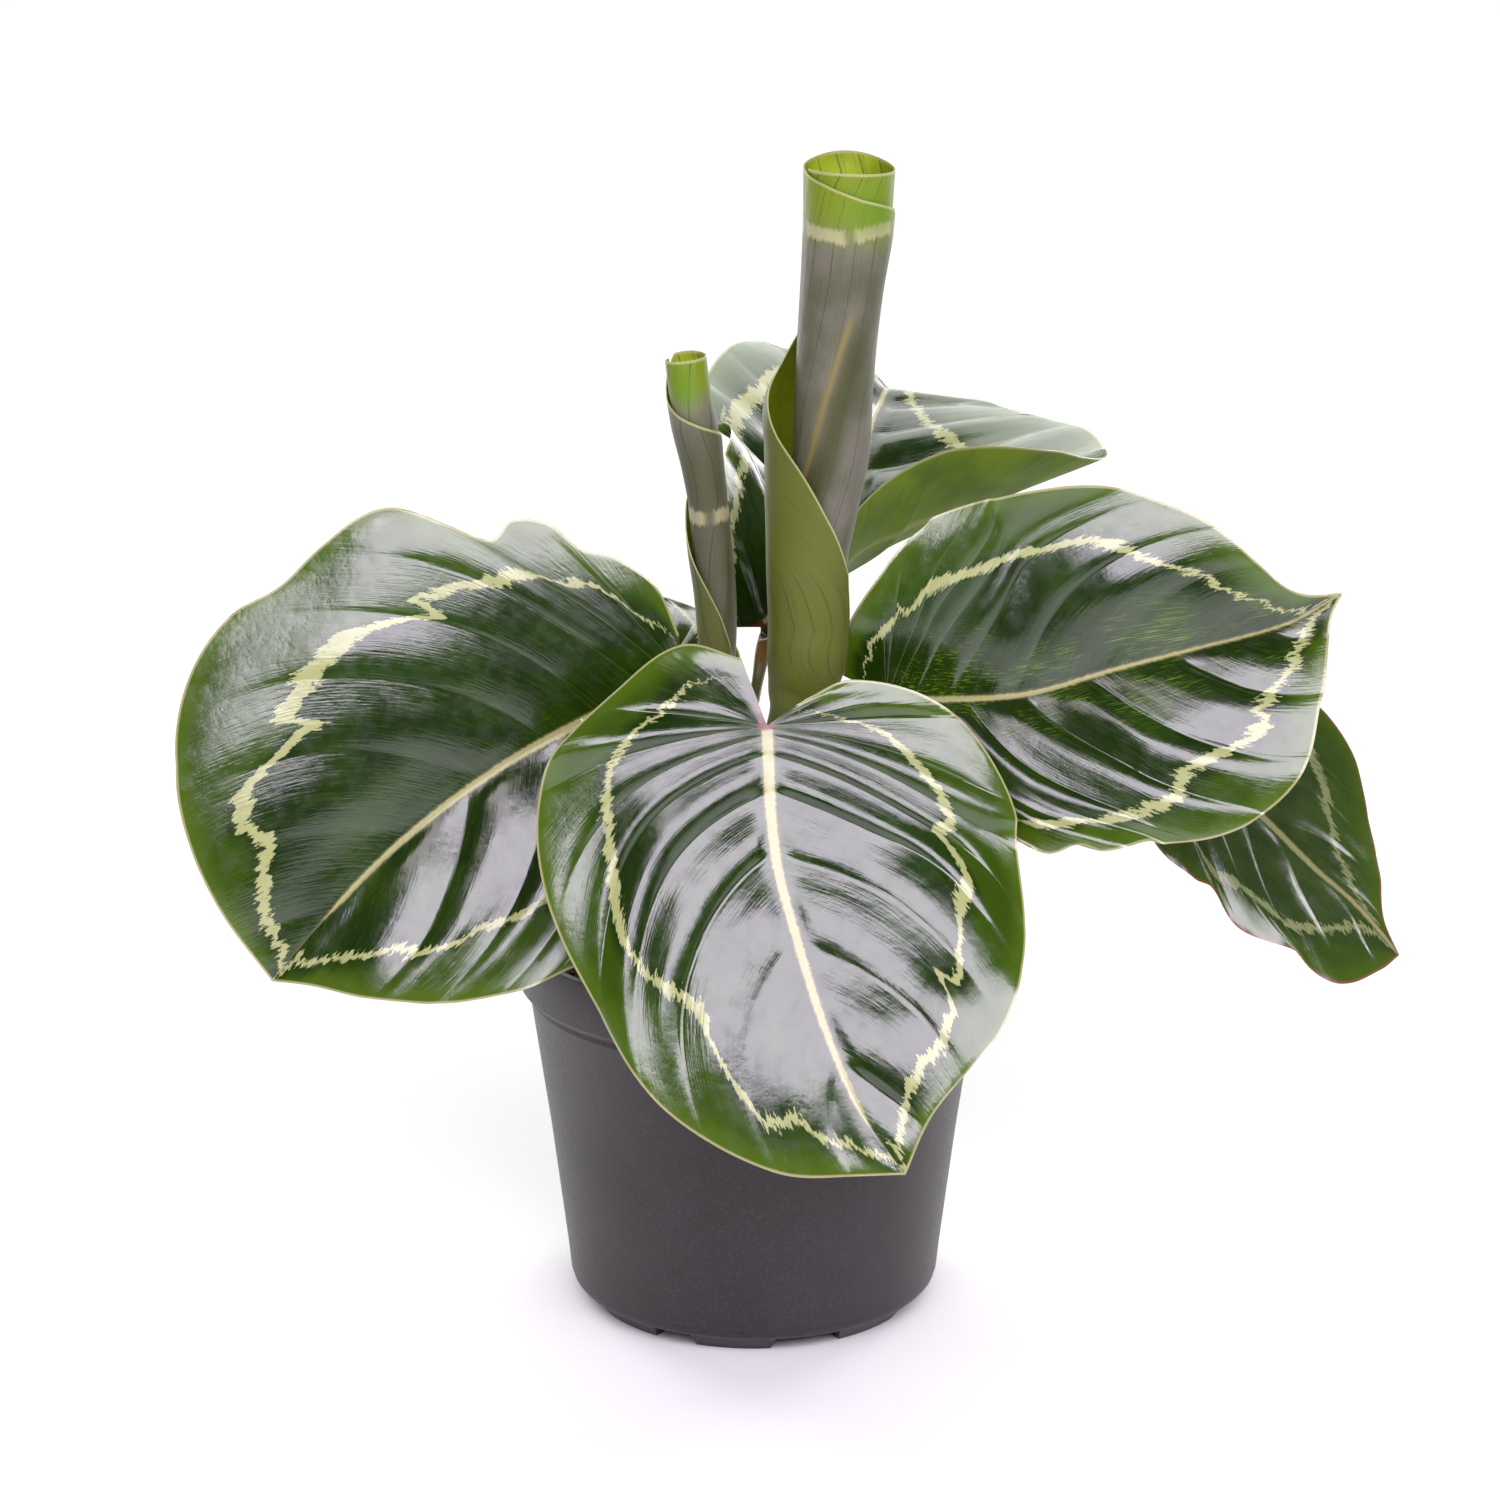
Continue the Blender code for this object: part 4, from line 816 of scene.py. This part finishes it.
def bladeMaterial(name, c, lively=1.0):
    # dark green inside the feathered ring, brighter outside, with pale midrib, margin and fine veins
    material, tree, shader = newMaterial(name, Roughness=0.3, IOR=1.8)
    uv, place = veinMap(tree), ownPlace(tree)
    keys = ("ringGap", "edgeGap", "midGap", "ribGap")
    ringGap, edgeGap, midGap, ribGap = (field(tree, key) for key in keys)
    cloud = noise(tree, place, 55.0, 3.0, 0.55)
    tone = paint(tree, c["dark"], c["deep"], cloud, 0.42, 0.68)
    tone = paint(tree, tone, c["green"], fibre(tree, uv, 160.0, 9.0, 3.0, 0.6), 0.45, 0.75, 0.5)
    ticks = ramp(tree, fibre(tree, uv, 26.0, 210.0, 2.0, 0.6), 0.52, 0.68)
    ladder = calc(tree, "MULTIPLY", ticks, ramp(tree, cloud, 0.4, 0.62))
    ladder = calc(tree, "MULTIPLY", ladder, field(tree, "ladder"))
    tone = paint(tree, tone, c["bright"], midGap, 26.0, 3.0, ladder)
    outer = ramp(tree, calc(tree, "MULTIPLY_ADD", cloud, 9.0, ringGap), 5.0, 12.0)
    tone = blend(tree, calc(tree, "MULTIPLY", outer, 0.8 * lively), tone, c["green"])
    rimmed = calc(tree, "MULTIPLY_ADD", cloud, -5.0, edgeGap)
    tone = paint(tree, tone, c["bright"], rimmed, 4.0, -2.0, calc(tree, "MULTIPLY", outer, 0.3 * lively))
    tone = paint(tree, tone, c["vein"], field(tree, "veinGap"), 0.24, 0.08, 0.6)
    barbs = fibre(tree, uv, 115.0, 24.0, 3.0, 0.75)
    feathered = jitter(tree, jitter(tree, ringGap, barbs, 9.0), fibre(tree, uv, 22.0, 22.0), 6.0)
    wide = calc(tree, "MULTIPLY", field(tree, "ringWide"), 1.25)
    inside = calc(tree, "SUBTRACT", wide, calc(tree, "ABSOLUTE", feathered))
    tone = paint(tree, tone, c["ring"], inside, -0.15, 0.35, 0.95)
    ribRough = jitter(tree, ribGap, barbs, 1.1)
    tone = paint(tree, tone, c["ribEdge"], ribRough, -0.45, 0.1, 0.8)
    tone = paint(tree, tone, c["rib"], ribRough, -0.05, 0.5)
    collar = ramp(tree, field(tree, "baseGap"), 1.4, 0.5)
    tone = paint(tree, tone, c["collar"], midGap, 3.0, 1.6, collar)
    tone = paint(tree, tone, c["margin"], edgeGap, 0.75, 0.35, 0.9)
    gloss = noise(tree, place, 240.0, 3.0, 0.6)
    tree.links.new(ramp(tree, gloss, 0.3, 0.75, 0.13, 0.24), shader.inputs["Roughness"])
    relief = calc(tree, "MULTIPLY_ADD", fibre(tree, uv, 210.0, 12.0), 0.6, gloss)
    finishSkin(tree, shader, tone, relief, 0.0002, 0.35)
    return material


def underMaterial(name, c):
    # paler and duller, with darker fine veins running the same way
    material, tree, shader = newMaterial(name, Roughness=0.6, IOR=1.2)
    fine = fibre(tree, veinMap(tree), 150.0, 6.0, 3.0)
    tone = paint(tree, c["under"], c["underDark"], noise(tree, ownPlace(tree), 60.0, 3.0), 0.35, 0.7)
    tone = paint(tree, tone, c["underDark"], fine, 0.5, 0.7, 0.5)
    tone = paint(tree, tone, c["underDark"], field(tree, "veinGap"), 0.45, 0.1, 0.6)
    ghost = calc(tree, "SUBTRACT", field(tree, "ringWide"), calc(tree, "ABSOLUTE", field(tree, "ringGap")))
    tone = paint(tree, tone, c["ring"], ghost, -1.5, 1.0, 0.35)
    tone = paint(tree, tone, c["underRib"], field(tree, "ribGap"), -0.6, 0.4)
    tone = paint(tree, tone, c["margin"], field(tree, "edgeGap"), 0.9, 0.3, 0.8)
    finishSkin(tree, shader, tone, fine, 0.0003, 0.5)
    return material


# Rolled leaves. The axis, girth and two long edges of the sheet are the solid's own, wound closer. Angles
# count from the viewer's right and grow towards the back; the sheet winds outwards as they grow, and back
# is how far its upper edge is raised there, as a share. band is the height of the pale band, patch the
# angle and height of a green spot, and streak the pale rib showing through: its lower end, its angle there,
# the degrees it gains in each mm, and its upper end. A fade is (start, span), of a share, height or angle.
rollSettings = dict(
    sheet=0.28, pitch=0.75, flapStart=380.0, flapSpan=140.0, rows=110, columns=420, veinPitch=5.6,
    veinSway=(0.25, 19), raised=(90, 65), tubeEnd=372, look=0.01, ribStrong=0.6, ribSpread=5.5,
    ribTopFade=-9, ribFootFade=(-14, 6), ribSideFade=-8, shadeStrong=0.9, shadeAside=26, shadeSpread=24,
    shadeFade=(0.86, -0.2), flapFade=25, flapTopFade=(0.72, -0.1), topFade=(0.82, 0.14), bandRise=0.7,
    bandWave=4.5, bandFade=(0.3, 0.1), blotchWave=2.3, blotchShift=1, blotchFade=(-1.1, 0.5),
    patchSpread=(38, 5.5))
rolls = dict(
    rolled_leaf_tall=dict(
        axis=[(0, 4.8, -6, 152), (0.03, 8.5, -6, 156), (0.07, 11.2, -5, 162), (0.12, 12.9, -5, 169),
              (0.2, 13.6, -4, 180), (0.3, 14.2, -4, 194), (0.4, 16.6, -3.5, 208), (0.5, 18.8, -3, 222),
              (0.6, 19.3, -3, 236), (0.7, 20.1, -2.5, 250), (0.8, 21.3, -2, 264), (0.9, 22.7, -1.5, 278),
              (1, 23.2, -1, 291.5)],
        girth=[(0, 2.4, 0), (0.03, 5.8, 0), (0.07, 8.1, 0.2), (0.12, 9.4, 0.5), (0.2, 9.5, 0.9),
               (0.3, 9.3, 2.2), (0.4, 9.5, 4.8), (0.5, 9.9, 6.5), (0.6, 10.1, 6.3), (0.66, 10.1, 2.5),
               (0.72, 10.2, 0.4), (0.8, 10.5, 0), (0.9, 11.2, 0), (1, 11.2, 0)],
        margin=[(180, 1), (235, 0.98), (285, 0.955), (345, 0.935), (378, 0.9), (450, 0.8), (496, 0.72),
                (528, 0.66), (554, 0.6), (594, 0.5), (636, 0.4), (682, 0.3), (704, 0.2)],
        inner=[(-165, 0.93), (-108, 0.8), (-4, 0.6), (78, 0.4), (164, 0.2), (200, 0.12), (290, 0.07),
               (380, 0.03), (440, 0)],
        band=277.5, bandStrong=1.0, shadeAllRound=0.0, patch=(300, 283), streak=(219.6, 232.0, 1.48, 262.0),
        veinLean=0.32, yellow=1.0, back=0.024),
    rolled_leaf_short=dict(
        axis=[(0, -8.5, 0, 158), (0.18, -8.8, 0, 173), (0.32, -9.3, 0.5, 185.5), (0.48, -10.8, 1, 199.5),
              (0.6, -11.8, 1.2, 210), (0.7, -13, 1.5, 218.5), (0.8, -14.4, 1.7, 227), (0.9, -16, 2, 236),
              (1, -17, 2.2, 244.5)],
        girth=[(0, 2.2, 0), (0.08, 4, 0), (0.18, 4.9, 0.3), (0.26, 5.2, 0.4), (0.34, 5.3, 0.5),
               (0.43, 5.4, 0.6), (0.5, 5.4, 0.5), (0.58, 5.3, 0.3), (0.7, 5.6, 0), (0.8, 6, 0),
               (0.9, 5.6, 0), (1, 5.4, 0)],
        margin=[(120, 1), (182, 0.895), (235, 0.85), (290, 0.81), (350, 0.775), (440, 0.7), (520, 0.58),
                (548, 0.5), (574, 0.43), (610, 0.34), (640, 0.26), (664, 0.18), (690, 0.08)],
        inner=[(-210, 0.93), (-178, 0.81), (-136, 0.775), (-64, 0.7), (16, 0.58), (44, 0.5), (106, 0.34),
               (160, 0.18), (366, 0.08), (474, 0)],
        # The short roll's outside is painted with shade all round it, at this strength.
        band=206.0, bandStrong=0.8, shadeAllRound=0.65, patch=(260, 238), streak=(150.0, 232.0, 1.5, 150.0),
        veinLean=0.25, yellow=0.6, back=0.01))
rollColours = dict(
    inner=(0.19, 0.25, 0.006), innerPale=(0.3, 0.38, 0.015), outer=(0.145, 0.135, 0.108),
    outerDark=(0.085, 0.09, 0.052), shade=(0.046, 0.052, 0.014), top=(0.155, 0.215, 0.008),
    flap=(0.1, 0.12, 0.01), line=(0.05, 0.065, 0.02), vein=(0.035, 0.042, 0.014), band=(0.36, 0.34, 0.18),
    patch=(0.1, 0.2, 0.006), rib=(0.24, 0.19, 0.05), edge=(0.34, 0.36, 0.14))


def rollGrid(c, roll):
    # spiral sheet: every column keeps its angle and climbs from the inner edge to the outer one
    rows, columns = c["rows"], c["columns"]
    margin, inner = np.asarray(roll["margin"], float), np.asarray(roll["inner"], float)
    angle = np.linspace(inner[0, 0], margin[-1, 0], columns)
    low = knots(inner, angle)
    high = knots(margin, angle)
    high[-1] = margin[-1, 1]
    high = high + roll["back"] * bell(angle, *c["raised"])
    share = low + np.linspace(0, 1, rows)[:, None] * (high - low)
    outermost = np.interp(share, margin[::-1, 1], margin[::-1, 0])
    centre = smoothRows(roll["axis"], share)
    radius, flap = np.moveaxis(smoothRows(roll["girth"], share), -1, 0)
    stand = smoothStep(angle, c["flapStart"], c["flapSpan"])
    reach = radius - c["pitch"] * (outermost - angle) / 360 + flap * stand
    climb = unit(smoothRows(roll["axis"], share + c["look"]) - smoothRows(roll["axis"], share - c["look"]))
    east = unit(np.array([1.0, 0, 0]) - climb * climb[..., :1])
    north = np.cross(climb, east)
    turn = np.radians(angle)[None, :, None]
    points = centre + reach[..., None] * (np.cos(turn) * east + np.sin(turn) * north)
    return points, share, np.repeat(angle[None], rows, 0), reach, high - share


def rollMaterial(name, c, inside):
    # yellow-green within; outside mauve-grey with a streak of painted shade, a green top and a pale band
    material, tree, shader = newMaterial(name, Roughness=0.5, IOR=1.36)
    cloud = noise(tree, ownPlace(tree), 70.0, 3.0)
    fine = fibre(tree, veinMap(tree), 120.0, 5.0, 3.0)
    if inside:
        tone = paint(tree, c["inner"], c["innerPale"], cloud, 0.3, 0.7)
    else:
        tone = paint(tree, c["outer"], c["outerDark"], cloud, 0.35, 0.7)
        # painted shade over part of the outside
        tone = blend(tree, field(tree, "shadeSide"), tone, c["shade"])
        tone = paint(tree, tone, c["top"], field(tree, "topShare"), 0.0, 1.0)
        tone = blend(tree, calc(tree, "MULTIPLY", field(tree, "flapShare"), 0.92), tone, c["flap"])
    tone = paint(tree, tone, c["line"], fine, 0.5, 0.72, 0.3)
    tone = paint(tree, tone, c["vein"], field(tree, "veinGap"), 0.34, 0.1, 0.6)
    ragged = calc(tree, "ABSOLUTE", jitter(tree, field(tree, "bandGap"), fine, 4.0))
    shown = calc(tree, "MULTIPLY", field(tree, "bandShow"), 0.9)
    tone = paint(tree, tone, c["band"], ragged, 2.3, 1.0, shown)
    tone = blend(tree, calc(tree, "MULTIPLY", field(tree, "patchShow"), 0.85), tone, c["patch"])
    tone = blend(tree, field(tree, "ribShow"), tone, c["rib"])
    tone = paint(tree, tone, c["edge"], field(tree, "edgeGap"), 0.9, 0.35, 0.9)
    finishSkin(tree, shader, tone, fine, 0.0003, 0.5)
    return material


def rollFields(c, roll, angle, share, arc, z, lines, toMargin):
    # shares from 0 to 1 and distances in mm that the material reads
    around = np.mod(angle, 360)
    low, start, lean, high = roll["streak"]
    footShift, footSpan = c["ribFootFade"]
    streak = start + lean * (z - low)
    along = smoothStep(z, high, c["ribTopFade"]) * smoothStep(z, low + footShift, footSpan)
    along = along * smoothStep(angle, c["tubeEnd"], c["ribSideFade"])
    shade = c["shadeStrong"] * bell(around, streak + c["shadeAside"], c["shadeSpread"])
    flap = smoothStep(angle, c["tubeEnd"], c["flapFade"]) * smoothStep(share, *c["flapTopFade"])
    blotches = smoothStep(np.sin(arc / c["blotchWave"] + c["blotchShift"]), *c["blotchFade"])
    (turnAt, heightAt), (turnSpread, heightSpread) = roll["patch"], c["patchSpread"]
    height = roll["axis"][-1][3] - roll["axis"][0][3]
    return dict(
        edgeGap=toMargin * height, veinGap=np.abs(lines - np.round(lines)) * c["veinPitch"],
        flapShare=flap * roll["yellow"], topShare=smoothStep(share, *c["topFade"]),
        # painted shade: a dark band beside the rib streak, raised everywhere to the roll's own level of
        # painted shade
        shadeSide=np.maximum(shade, roll["shadeAllRound"]) * smoothStep(share, *c["shadeFade"]),
        bandGap=z - roll["band"] - c["bandRise"] * np.sin(arc / c["bandWave"]),
        bandShow=roll["bandStrong"] * blotches * smoothStep(share, *c["bandFade"]),
        patchShow=bell(around, turnAt, turnSpread) * bell(z, heightAt, heightSpread),
        ribShow=c["ribStrong"] * bell(around, streak, c["ribSpread"]) * along)


def makeRoll(c, name, roll, materials):
    # the spiral's two faces, half the sheet's thickness to either side of it, closed by a rim
    points, share, angle, reach, toMargin = rollGrid(c, roll)
    normal = unit(np.cross(np.gradient(points, axis=1), np.gradient(points, axis=0)))
    faces = [(points + normal * side * c["sheet"] / 2).reshape(-1, 3) for side in (1, -1)]
    index = gridIndex(points)
    border = np.concatenate([index[0], index[1:, -1], index[-1, -2::-1], index[-2::-1, 0]])
    rim = gridQuads(np.stack([border, border + share.size], -1))
    quads = [gridQuads(index, True), gridQuads(index + share.size), rim]
    slots = [np.full(len(q), k) for q, k in zip(quads, (0, 1, 0))]
    arc, z = np.radians(angle) * reach, points[..., 2]
    sway, length = c["veinSway"]
    lines = (arc - z * roll["veinLean"]) / c["veinPitch"] + sway * np.sin(z / length)
    flat = rollFields(c, roll, angle, share, arc, z, lines, toMargin)
    fields = {key: np.tile(values.ravel(), 2) for key, values in flat.items()}
    uv = np.tile(np.stack([lines * c["veinPitch"] / 100, z / 100], -1).reshape(-1, 2), (2, 1))
    return makePiece(name + "_sheet", np.vstack(faces), np.vstack(quads), materials, name,
                     fields, uv, np.concatenate(slots), merge=0.01, sharp=70)


# Stalks. root is where one leaves the soil, arrive the way it points at its blade. Under a blade it is
# neck thick and swells to joint; its end lies joinAlong on along the midrib and joinBelow under it.
stalkSettings = dict(
    foot=2.2, neck=1.5, thinning=(0.25, 0.5), joint=2.1, jointLength=13.0, jointMiddle=0.55, jointSpread=0.45,
    end=1.2, endTaper=0.35, sides=20, steps=70, bury=6.0, soilTop=soilSettings["top"], upright=5,
    aside=(0.15, 1.0, 0.3), mapWide=2.0, joinAlong=4.5, joinBelow=1.6, joinUp=1.5,
    red=(0.07, 0.026, 0.014), olive=(0.08, 0.1, 0.022), line=(0.12, 0.11, 0.04), orange=(0.18, 0.085, 0.018),
    speck=(0.05, 0.02, 0.008))
stalks = dict(
    leaf_front=dict(root=(2, -9), bends=[(4, -14, 118), (7, -23, 146)], arrive=(-0.1, -0.55, 0.4)),
    leaf_left=dict(root=(-9, -4), bends=[(-11, -4, 118), (-14, 0, 146)], arrive=(-0.3, -0.5, 0.7)),
    leaf_right=dict(root=(9, -3), bends=[(13, -1, 118), (22, 4, 144)], arrive=(0.6, -0.4, 0.6)),
    leaf_far_right=dict(root=(11, 5), bends=[(17, 8, 112), (42, 24, 134), (70, 42, 138)],
                        arrive=(0.87, -0.45, 0.07)),
    leaf_back=dict(root=(0, 12), bends=[(0, 16, 116), (-1, 36, 138)], arrive=(0.2, 0.1, 0.95)),
    leaf_back_left=dict(root=(-9, 6), bends=[(-13, 11, 112), (-22, 21, 135)], arrive=(-0.3, 0.4, 0.85)),
    rolled_leaf_tall=dict(root=(4, 2), bends=[(5, 0, 112), (4, -4, 134)], arrive=(0, 0, 1)),
    rolled_leaf_short=dict(root=(-3, 3), bends=[(-5, 2, 112), (-8, 0, 138)], arrive=(0, 0, 1)))


def stalkMaterial(c):
    # reddish at the soil, olive above and orange-brown at the swollen joint, with fine lengthwise lines
    material, tree, shader = newMaterial("stalkSkin", Roughness=0.4)
    uv = veinMap(tree)
    fine = fibre(tree, uv, 60.0, 4.0, 3.0)
    tone = paint(tree, c["red"], c["olive"], field(tree, "climb"), 0.05, 0.5)
    tone = paint(tree, tone, c["line"], fine, 0.4, 0.7, 0.5)
    tone = blend(tree, field(tree, "jointShare"), tone, c["orange"])
    tone = paint(tree, tone, c["speck"], fibre(tree, uv, 130.0, 70.0), 0.64, 0.72, 0.6)
    finishSkin(tree, shader, tone, fine, 0.0003, 0.6)
    return material


def makeStalk(c, name, stalk, end, joint, material):
    # a tube along a smooth path from the soil to its blade, swelling just below it
    x, y = stalk["root"]
    arrive = unit(np.asarray(stalk["arrive"], float))
    tail = [tuple(end - arrive * c["jointLength"]), tuple(end)]
    way = [(x, y, c["soilTop"] + c["upright"])] + stalk["bends"] + tail
    path = np.vstack([[(x, y, c["soilTop"] - c["bury"])], smoothLine(way, np.linspace(0, 1, c["steps"]))])
    left = lengthAlong(path[::-1])[::-1]
    thinFrom, thinOver = c["thinning"]
    radii = c["neck"] + (c["foot"] - c["neck"]) * np.clip((left / left[0] - thinFrom) / thinOver, 0, 1)
    swell = bell(left, c["jointLength"] * c["jointMiddle"], c["jointLength"] * c["jointSpread"]) * joint
    if joint:
        radii = np.minimum(radii + (c["joint"] - c["neck"]) * swell, c["end"] + c["endTaper"] * left)
    lead = unit(np.gradient(path, axis=0))
    across = unit(np.cross(lead, np.array(c["aside"])))
    other = np.cross(lead, across)
    columns = c["sides"] + 1
    turn = np.linspace(0, 2 * math.pi, columns)[None, :, None]
    ring = np.cos(turn) * across[:, None] + np.sin(turn) * other[:, None]
    points = path[:, None] + radii[:, None, None] * ring
    ends = [np.repeat(path[k, None, None], columns, 1) for k in (0, -1)]
    points = np.concatenate([ends[0], points, ends[1]])
    capped = [0] + list(range(len(path))) + [-1]
    climb = np.concatenate([[0], 1 - left / left[0], [1]])
    fields = dict(climb=np.repeat(climb, columns), jointShare=np.repeat(swell[capped], columns))
    uv = np.stack([np.repeat(turn[..., 0] * c["mapWide"], len(capped), 0),
                   np.repeat(left[capped][:, None], columns, 1)], -1) / 100
    return makePiece(name + "_stem", points.reshape(-1, 3), gridQuads(gridIndex(points)), [material],
                     name + "_stalk", fields, uv.reshape(-1, 2), merge=0.01, sharp=60)


# Build
makeCamera(cameraSettings)
makeStudio(studio)
print("camera and studio set")
makePot(potSettings)
makeSoil(soilSettings)
print("pot and soil made")
upper, upperDull = bladeMaterial("bladeUpper", leafColours), bladeMaterial("bladeUpperDull", dullColours, 0.6)
lower = underMaterial("bladeUnder", leafColours)
stalkSkin = stalkMaterial(stalkSettings)
for name, leaf in leaves.items():
    makeBlade(bladeSettings, name, leaf, [upperDull if name == "leaf_far_right" else upper, lower])
    point, _, normal, _, _ = midribFrame(leaf, np.array([stalkSettings["joinAlong"]]))
    end = point[0] - normal[0] * stalkSettings["joinBelow"]
    makeStalk(stalkSettings, name, stalks[name], end, True, stalkSkin)
print("leaves made")
rollSkins = [rollMaterial("rollOutside", rollColours, False), rollMaterial("rollInside", rollColours, True)]
for name, roll in rolls.items():
    makeRoll(rollSettings, name, roll, rollSkins)
    end = np.array(roll["axis"][0][1:], float) + np.array([0, 0, stalkSettings["joinUp"]])
    makeStalk(stalkSettings, name, stalks[name], end, False, stalkSkin)
print("rolled leaves made")
